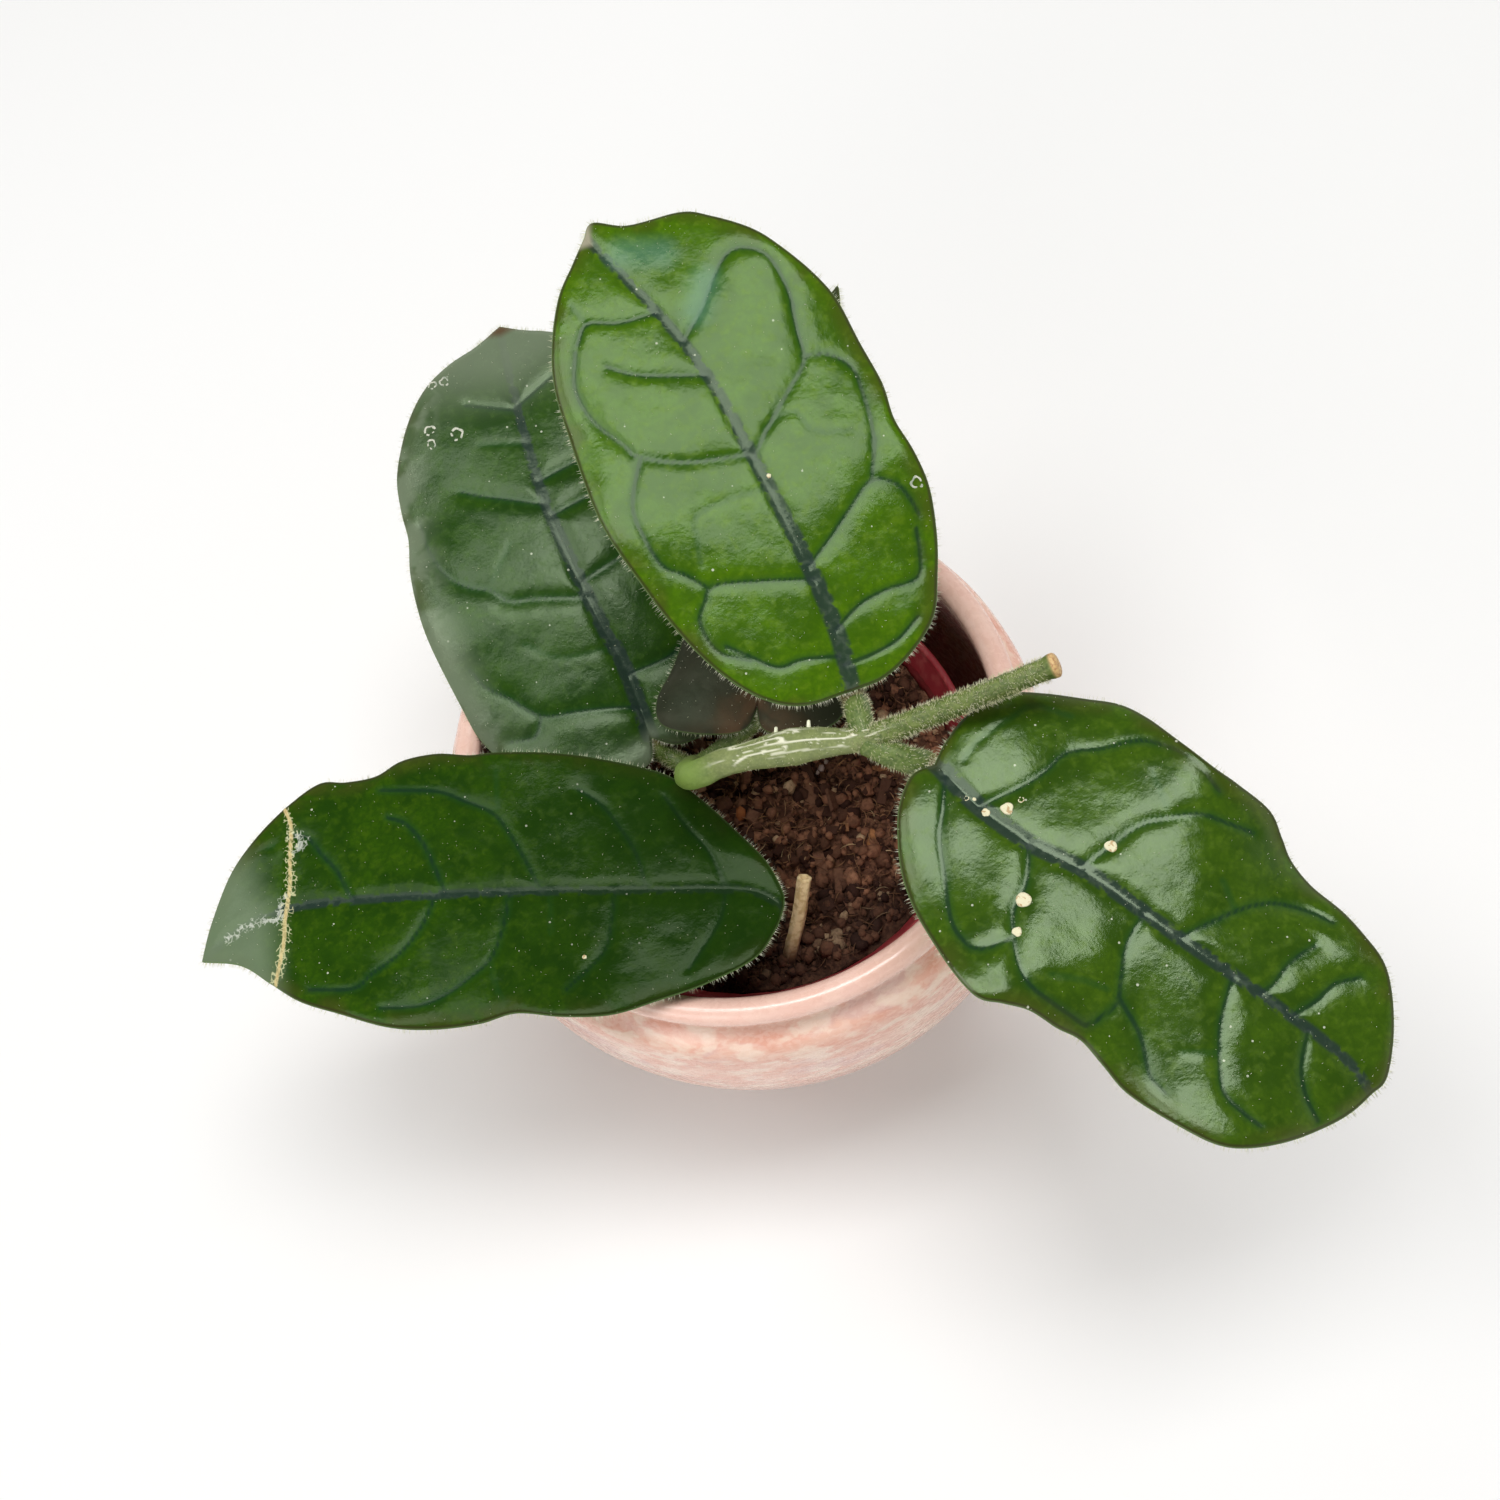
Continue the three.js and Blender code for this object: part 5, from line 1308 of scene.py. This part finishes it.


# %% [markdown]
# ## Glaze
# The glaze is a mottled pink: soft blotches of cream, salmon and grey-lilac, drawn out sideways by the
# turning. A dip line runs round below the groove, and the body below it is darker, partly by its own glaze
# and partly by painted shade. An image could show it, but it would show a seam too. Patches in space,
# squashed upright, have none.

# %% Glaze


def glaze_finish():
    """Patches of three sizes over salmon, a lower body darker by its glaze and by painted shade, a pale
    lip and a rosy inside.
    """
    glaze = Finish("pink_mottled_glaze", specular=0.5, coat=0.3, coat_roughness=0.12)
    place = glaze.place()
    squash = glaze.add("VectorMath", {0: place, 1: (1, 1, 2.1)}, operation="MULTIPLY").outputs[0]
    salmon = glaze.group(PATCHES, Vector=squash, Size=10, Low=0.38, High=0.62)
    cream = glaze.group(PATCHES, Vector=squash, Size=8, Low=0.48, High=0.62)
    lilac = glaze.group(PATCHES, Vector=squash, Size=16, Low=0.52, High=0.64)
    fine = glaze.group(PATCHES, Vector=squash, Size=1.8, Low=0.45, High=0.62)
    colour = glaze.mix(salmon, (0.8, 0.49, 0.38), (0.74, 0.37, 0.27))
    colour = glaze.mix(glaze.math("MULTIPLY", lilac, 0.4), colour, (0.62, 0.44, 0.44))
    colour = glaze.mix(glaze.math("MULTIPLY", cream, 0.8), colour, (0.86, 0.66, 0.53))
    colour = glaze.mix(glaze.math("MULTIPLY", fine, 0.2), colour, (0.9, 0.74, 0.65))
    parts = glaze.add("SeparateXYZ", {"Vector": place}).outputs
    dip = glaze.math("ADD", parts["Z"], glaze.ramp(lilac, 0.0, 1.0, 0.0, 0.0015))
    # Below the dip line the body is darker: partly its glaze, partly painted shade.
    low = glaze.math("MULTIPLY", glaze.ramp(dip, 0.0705, 0.0685), 0.6)
    colour = glaze.mix(low, colour, (0.62, 0.36, 0.29))
    line = glaze.math("MULTIPLY", glaze.ramp(dip, 0.0725, 0.0705), glaze.ramp(dip, 0.069, 0.0705))
    colour = glaze.mix(glaze.math("MULTIPLY", line, 0.4), colour, (0.5, 0.3, 0.24))
    rim = glaze.ramp(parts["Z"], 0.1055, 0.1085)
    colour = glaze.mix(glaze.math("MULTIPLY", rim, 0.8), colour, (0.85, 0.56, 0.47))
    colour = glaze.mix(glaze.math("MULTIPLY", glaze.field("inside"), 0.6), colour, (0.72, 0.38, 0.38))
    rough = glaze.ramp(fine, 0.0, 1.0, 0.26, 0.36)
    normal = glaze.bump(glaze.group(GRAIN, Vector=place, Size=5), 0.2)
    return glaze.set(colour=colour, roughness=rough, normal=normal)


LIP_CENTRE = np.array([62.85, 108.95])
LIP_RADIUS = 3.05
POT_SEGMENTS = 200
lip_turns = math.pi * np.linspace(0, 1, 5)[:, None]
lip_arc = LIP_CENTRE + LIP_RADIUS * np.hstack([np.cos(lip_turns), np.sin(lip_turns)])
outer_wall = [(43.5, 0.05), (45, 1.5), (50.5, 16), (59.6, 34), (66.1, 52), (70.3, 68), (71.6, 82),
              (71.2, 92), (69.7, 99.5), (64.6, 104.4)]
inner_wall = [(61.2, 101), (66.6, 84), (65.3, 68), (61.1, 50), (53.6, 30), (42, 11), (39, 7.05)]
side = smooth_line(np.vstack([outer_wall, lip_arc, inner_wall]), np.linspace(0, 1, 260))
pot_profile = np.vstack([[(0, 0), (20, 0), (40, 0)], side, [(20, 7), (0, 7)]])
points, faces = turned(pot_profile, POT_SEGMENTS, 0.12, 81)
past_lip = np.arange(len(pot_profile) - 2) > 2 + np.argmax(side[:, 1])
inside = np.repeat(past_lip, POT_SEGMENTS) * (1 - smooth_step(points[:-2, 2], 103, 108))
new_piece("ceramic_pot_glazed", points, faces, glaze_finish(), ["ceramic_pot"],
          {"inside": np.r_[inside, 0, 1]})

# %% [markdown]
# ## Nursery pot
# The plant grows in a thin moulded plastic pot, brick red, that stands loose in the
# ceramic one. The whole pot could be made anew, but only its lip shows. So the CAD pot
# keeps its place, with its drain holes, and a finer lip covers its coarse one.

# %% Nursery pot
plastic = Finish("brick_red_plastic", specular=0.4)
place = plastic.place()
scuffs = plastic.group(PATCHES, Vector=place, Size=4, Low=0.5, High=0.7)
plastic.set(
    colour=plastic.mix(scuffs, (0.33, 0.03, 0.04), (0.4, 0.07, 0.07)),
    roughness=plastic.ramp(scuffs, 0.0, 1.0, 0.35, 0.5),
    normal=plastic.bump(plastic.group(GRAIN, Vector=place, Size=0.7), 0.04),
)
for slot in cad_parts["nursery_pot"].material_slots:
    slot.material = plastic.material
lip_line = [(52.7, 83.9), (54.3, 84.1), (54.5, 87.5), (54.62, 91.0), (54.3, 91.3), (53.3, 91.3),
            (52.95, 90.8), (52.2, 87), (51.3, 85.2), (50.75, 84.2)]
loop_line = smooth_line(lip_line, np.linspace(0, 1, 60))


def turned_ring(section, segments):
    """A closed ring: a closed section of (radius, height), turned about the axis."""
    turn = np.linspace(0, 2 * np.pi, segments, endpoint=False)[None, :]
    radius, height = section[:, :1], section[:, 1:]
    shape = np.stack([radius * np.cos(turn), radius * np.sin(turn), height + 0 * turn], axis=-1)
    number = np.arange(shape.shape[0] * segments).reshape(-1, segments)
    below, after = np.roll(number, -1, axis=0), np.roll(number, -1, axis=1)
    quads = np.stack([number, after, np.roll(after, -1, axis=0), below], axis=-1).reshape(-1, 4)
    return shape.reshape(-1, 3), [quads]


LINER_SHIFT = np.array([0, -1.6, 0])
points, faces = turned_ring(loop_line, 180)
points = points + LINER_SHIFT
new_piece("nursery_pot_lip", points, faces, plastic.material)

# %% [markdown]
# ## Soil
# The mix is coconut fibre and bark, with dark gaps between its crumbs. A Displace modifier
# on a disc could give the bed, but the crumbs must know its height to lie on it. So the
# height is a function of the place, and the bed, the crumbs and the fibres all ask it.

# %% Soil bed
SOIL_TOP = 82.0
SOIL_RADIUS = 49.5
SOIL_FOOT = 8.8


def soil_height(x, y):
    """Slow waves, lumps where a noise is near zero, and two finer layers of grains."""
    waves = 1.3 * np.sin(0.31 * x + 1.3 * np.sin(0.17 * y)) * np.cos(0.27 * y)
    waves = waves + 0.65 * np.sin(0.63 * x + 0.48 * y)
    lumps = 1.1 * (1 - np.abs(soft_noise(x, y, 3.4, 91)) * 2) + 0.6 * soft_noise(x, y, 1.5, 92)
    return SOIL_TOP + waves + lumps + 0.3 * soft_noise(x, y, 0.8, 93)


def soil_bed():
    """A disc of rings with the soil's height, closed by a tapered side and a flat foot."""
    rings, sectors = 150, 300
    reach = np.sqrt(np.linspace(0, 1, rings + 1)[1:])[:, None] * SOIL_RADIUS
    turn = np.linspace(0, 2 * np.pi, sectors, endpoint=False)[None, :]
    x, y = reach * np.cos(turn), reach * np.sin(turn)
    top = np.stack([x, y, soil_height(x, y)], axis=-1)
    wall = [np.stack([r * np.cos(turn[0]), r * np.sin(turn[0]), np.full(sectors, z)], axis=-1)
            for r, z in ((46, 60), (40, 30), (35.3, SOIL_FOOT), (20, SOIL_FOOT))]
    shape = np.concatenate([top, np.stack(wall)])[::-1]
    number = np.arange(shape.shape[0] * sectors).reshape(-1, sectors)
    after = np.roll(number, -1, axis=1)
    quads = np.stack([number[:-1], after[:-1], after[1:], number[1:]], axis=-1).reshape(-1, 4)
    count = number.size
    first = np.stack([np.full(sectors, count), after[0], number[0]], axis=-1)
    last = np.stack([np.full(sectors, count + 1), number[-1], after[-1]], axis=-1)
    poles = np.array([[0, 0, SOIL_FOOT], [0, 0, soil_height(np.zeros(1), np.zeros(1))[0]]])
    return np.concatenate([shape.reshape(-1, 3), poles]), [quads, np.concatenate([first, last])]


earth = Finish("coir_and_bark", roughness=0.9, specular=0.2)
place = earth.place()
grains = earth.group(PATCHES, Vector=place, Size=1.6, Low=0.35, High=0.65)
crumbs = earth.group(PATCHES, Vector=place, Size=5, Low=0.4, High=0.6)
colour = earth.mix(grains, (0.06, 0.024, 0.014), (0.28, 0.13, 0.075))
colour = earth.mix(earth.math("MULTIPLY", crumbs, 0.35), colour, (0.16, 0.07, 0.045))
# Painted shade on the bed at the front of the pot.
colour = earth.mix(earth.group(FRONT_SHADE, Vector=place), colour, (0.022, 0.009, 0.006))
earth.set(colour=colour, normal=earth.bump(earth.group(GRAIN, Vector=place, Size=0.8), 0.8))
points, faces = soil_bed()
points = points + LINER_SHIFT
new_piece("soil_bed", points, faces, earth.material, ["soil"])

# %% [markdown]
# ## Crumbs and chips
# Crumbs of one to four millimetres and some larger chips of bark lie on the bed. A
# particle system scatters such things quickly, but it doesn't leave plain meshes. So one
# rough lump and one slab are copied here as arrays, each copy with its own size and turn,
# and a random value per copy gives each its own brown.

# %% Crumbs and chips


def scattered(shape, faces, places, sizes, tilt, jitter, seed):
    """Copies of a small shape, each stretched, roughened, leaned by an angle about a random
    level line, turned about the upright, and set down at its place."""
    random = np.random.default_rng(seed)
    count = len(places)
    rough = 1 + random.uniform(-jitter, jitter, (count, len(shape), 1))
    bodies = shape[None] * sizes[:, None] * rough
    lean = random.normal(0, tilt, count)
    head = random.uniform(0, 2 * np.pi, count)
    second = random.uniform(0, 2 * np.pi, count)

    def spin(x, y, angle):
        """Two coordinates turned by each copy's angle."""
        cos, sin = np.cos(angle)[:, None], np.sin(angle)[:, None]
        return x * cos - y * sin, x * sin + y * cos

    x, y, z = np.moveaxis(bodies, -1, 0)
    x, y = spin(x, y, head)
    y, z = spin(y, z, lean)
    x, y = spin(x, y, second)
    points = np.stack([x, y, z], axis=-1) + places[:, None]
    all_faces = (faces + len(shape) * np.arange(count)[:, None, None]).reshape(-1, faces.shape[1])
    luck = np.repeat(random.random(count), len(shape))
    return points.reshape(-1, 3), [all_faces], {"luck": luck}


GOLDEN = (1 + 5**0.5) / 2
LUMP = unit(np.array([(-1, GOLDEN, 0), (1, GOLDEN, 0), (-1, -GOLDEN, 0), (1, -GOLDEN, 0), (0, -1, GOLDEN),
                      (0, 1, GOLDEN), (0, -1, -GOLDEN), (0, 1, -GOLDEN), (GOLDEN, 0, -1), (GOLDEN, 0, 1),
                      (-GOLDEN, 0, -1), (-GOLDEN, 0, 1)]))
LUMP_FACES = np.array([(0, 11, 5), (0, 5, 1), (0, 1, 7), (0, 7, 10), (0, 10, 11),
                       (1, 5, 9), (5, 11, 4), (11, 10, 2), (10, 7, 6), (7, 1, 8),
                       (3, 9, 4), (3, 4, 2), (3, 2, 6), (3, 6, 8), (3, 8, 9),
                       (4, 9, 5), (2, 4, 11), (6, 2, 10), (8, 6, 7), (9, 8, 1)])
SLAB = np.array([(-1, -1, -1), (1, -1, -1), (1, 1, -1), (-1, 1, -1),
                 (-1, -1, 1), (1, -1, 1), (1, 1, 1), (-1, 1, 1.0)])
SLAB_FACES = np.array([(0, 3, 2, 1), (4, 5, 6, 7), (0, 1, 5, 4), (1, 2, 6, 5), (2, 3, 7, 6), (3, 0, 4, 7)])


def strewn(count, lift, seed):
    """Places on the soil, even over its disc."""
    random = np.random.default_rng(seed)
    reach = (SOIL_RADIUS - 2) * np.sqrt(random.random(count))
    turn = random.uniform(0, 2 * np.pi, count)
    x, y = reach * np.cos(turn), reach * np.sin(turn)
    return np.stack([x, y, soil_height(x, y) + lift], axis=1) + LINER_SHIFT


def crumb_finish(name, dark, middle, pale):
    """Browns chosen by each copy's random value, a few pale, and painted shade at the front of the pot."""
    crumb = Finish(name, roughness=0.85, specular=0.25)
    place = crumb.place()
    luck = crumb.field("luck")
    colour = crumb.mix(crumb.ramp(luck, 0.15, 0.85), dark, middle)
    colour = crumb.mix(crumb.ramp(luck, 0.9, 0.97), colour, pale)
    spots = crumb.group(PATCHES, Vector=place, Size=0.9, Low=0.4, High=0.7)
    colour = crumb.mix(crumb.math("MULTIPLY", spots, 0.4), colour, dark)
    # Painted shade on the crumbs at the front of the pot.
    colour = crumb.mix(crumb.group(FRONT_SHADE, Vector=place), colour, (0.022, 0.009, 0.006))
    return crumb.set(colour=colour, normal=crumb.bump(crumb.group(GRAIN, Vector=place, Size=0.5), 0.25))


CRUMBS = 3600
CLODS = 700
CHIPS = 90
random = np.random.default_rng(5)
crumb_skin = crumb_finish("crumbs", (0.05, 0.018, 0.011), (0.38, 0.17, 0.095), (0.68, 0.45, 0.27))
chip_skin = crumb_finish("bark_chips", (0.07, 0.028, 0.017), (0.26, 0.12, 0.07), (0.5, 0.22, 0.09))
sizes = random.uniform(0.35, 1.5, (CRUMBS, 1))**1.3 * random.uniform(0.6, 1, (CRUMBS, 3))
points, faces, fields = scattered(LUMP, LUMP_FACES, strewn(CRUMBS, 0.1, 6), sizes, 1.5, 0.25, 7)
new_piece("soil_crumbs", points, faces, crumb_skin, fields=fields)
sizes = random.uniform(1.0, 2.6, (CLODS, 1)) * random.uniform(0.6, 1, (CLODS, 3))
points, faces, fields = scattered(LUMP, LUMP_FACES, strewn(CLODS, 0.2, 16), sizes, 1.5, 0.3, 17)
new_piece("soil_clods", points, faces, crumb_skin, fields=fields)
sizes = random.uniform((1.3, 0.7, 0.25), (3.6, 1.7, 0.6), (CHIPS, 3))
points, faces, fields = scattered(SLAB, SLAB_FACES, strewn(CHIPS, 0.6, 8), sizes, 0.5, 0.3, 9)
new_piece("soil_chips", points, faces, chip_skin, fields=fields, smooth=False)

# %% [markdown]
# ## Fibres, and a few single pieces
# Curled strands of coconut fibre lie over the crumbs. Hair curves could lie there too, but
# a plain mesh is wanted, so each strand is a bent three-sided tube. One thin root, an
# orange flake of bark and three pale grains can be told apart in the photograph, so they
# are set at their own places.

# %% Fibres, and a few single pieces
STRAND_RINGS = 7


def strands(count, longest, thickness, seed):
    """Fibres of coconut: three-sided, bent by the square of the way along, thin at both
    ends, and laid over the soil's height."""
    random = np.random.default_rng(seed)
    share = np.linspace(0, 1, STRAND_RINGS)
    start = strewn(count, 0, seed + 1) - LINER_SHIFT
    heading = random.uniform(0, 2 * np.pi, (count, 1))
    bend = random.normal(0, 1.2, (count, 1))
    length = random.uniform(0.3, 1, (count, 1)) * longest
    turn = heading + bend * share
    x = start[:, :1] + np.cumsum(np.cos(turn), axis=1) * length / STRAND_RINGS
    y = start[:, 1:2] + np.cumsum(np.sin(turn), axis=1) * length / STRAND_RINGS
    shrink = np.minimum(1, (SOIL_RADIUS - 1.5) / np.hypot(x, y))
    x, y = x * shrink, y * shrink
    rise = random.uniform(0.2, 1.6, (count, 1)) * np.sin(np.pi * share) + 0.4
    height = soil_height(x, y) * 0.35 + 0.65 * (start[:, 2:] + 0 * x) + rise
    middle = np.stack([x, y, height], axis=-1)
    side = np.stack([-np.sin(turn), np.cos(turn), 0 * turn], axis=-1)
    angle = np.arange(3) * 2 * np.pi / 3
    wide = thickness / 2 * (0.25 + np.sin(np.pi * share))[:, None, None]
    ring = side[:, :, None] * np.cos(angle)[:, None] + np.array([0, 0, 1.0]) * np.sin(angle)[:, None]
    points = middle[:, :, None] + wide * ring
    one = np.arange(3 * STRAND_RINGS).reshape(STRAND_RINGS, 3)
    after = np.roll(one, -1, axis=1)
    quads = np.stack([one[:-1], one[1:], after[1:], after[:-1]], axis=-1).reshape(-1, 4)
    ends = np.array([one[0], one[-1, [0, 2, 1]]])
    offset = one.size * np.arange(count)[:, None, None]
    faces = [(quads + offset).reshape(-1, 4), (ends + offset).reshape(-1, 3)]
    return points.reshape(-1, 3) + LINER_SHIFT, faces, {"luck": np.repeat(random.random(count), one.size)}


fibre_skin = crumb_finish("coconut_fibre", (0.12, 0.05, 0.026), (0.46, 0.24, 0.12), (0.72, 0.5, 0.28))
points, faces, fields = strands(1900, 7, 0.24, 11)
new_piece("soil_fibres", points, faces, fibre_skin, fields=fields)
root = np.array([(-3.2, -17.2), (-1.8, -18.6), (-0.4, -19.6), (0.9, -21.4)])
root_height = soil_height(root[:, 0], root[:, 1] - LINER_SHIFT[1]) + 0.9
root_line = np.c_[root, root_height]
points, faces, _, _ = carried(root_line, [0.28, 0.25, 0.2], (0, 0, 1), rings=40, around=10)
new_piece("thin_root", points, faces, straw.material)
places = np.array([(-3.8, -6.2, 84.4), (18.1, -1.5, 84.2), (19.6, -0.4, 84.3), (16.9, -2.2, 84.0)])
sizes = np.array([(2.1, 1.5, 1.0), (0.9, 0.8, 0.7), (0.7, 0.6, 0.6), (0.8, 0.6, 0.5)])
points, faces, fields = scattered(LUMP, LUMP_FACES, places[:1], sizes[:1], 0.3, 0.2, 12)
orange = crumb_finish("orange_bark", (0.3, 0.09, 0.03), (0.5, 0.18, 0.06), (0.6, 0.3, 0.14))
new_piece("orange_bark", points, faces, orange, fields=fields)
points, faces, fields = scattered(LUMP, LUMP_FACES, places[1:], sizes[1:], 1.0, 0.2, 13)
pale = crumb_finish("pale_grain", (0.36, 0.25, 0.22), (0.52, 0.4, 0.36), (0.7, 0.6, 0.54))
new_piece("pale_grains", points, faces, pale, fields=fields)

# %% [markdown]
# ## Sizes
# The dressed plant must keep the size of the CAD model, or it wouldn't fit where the part is used.
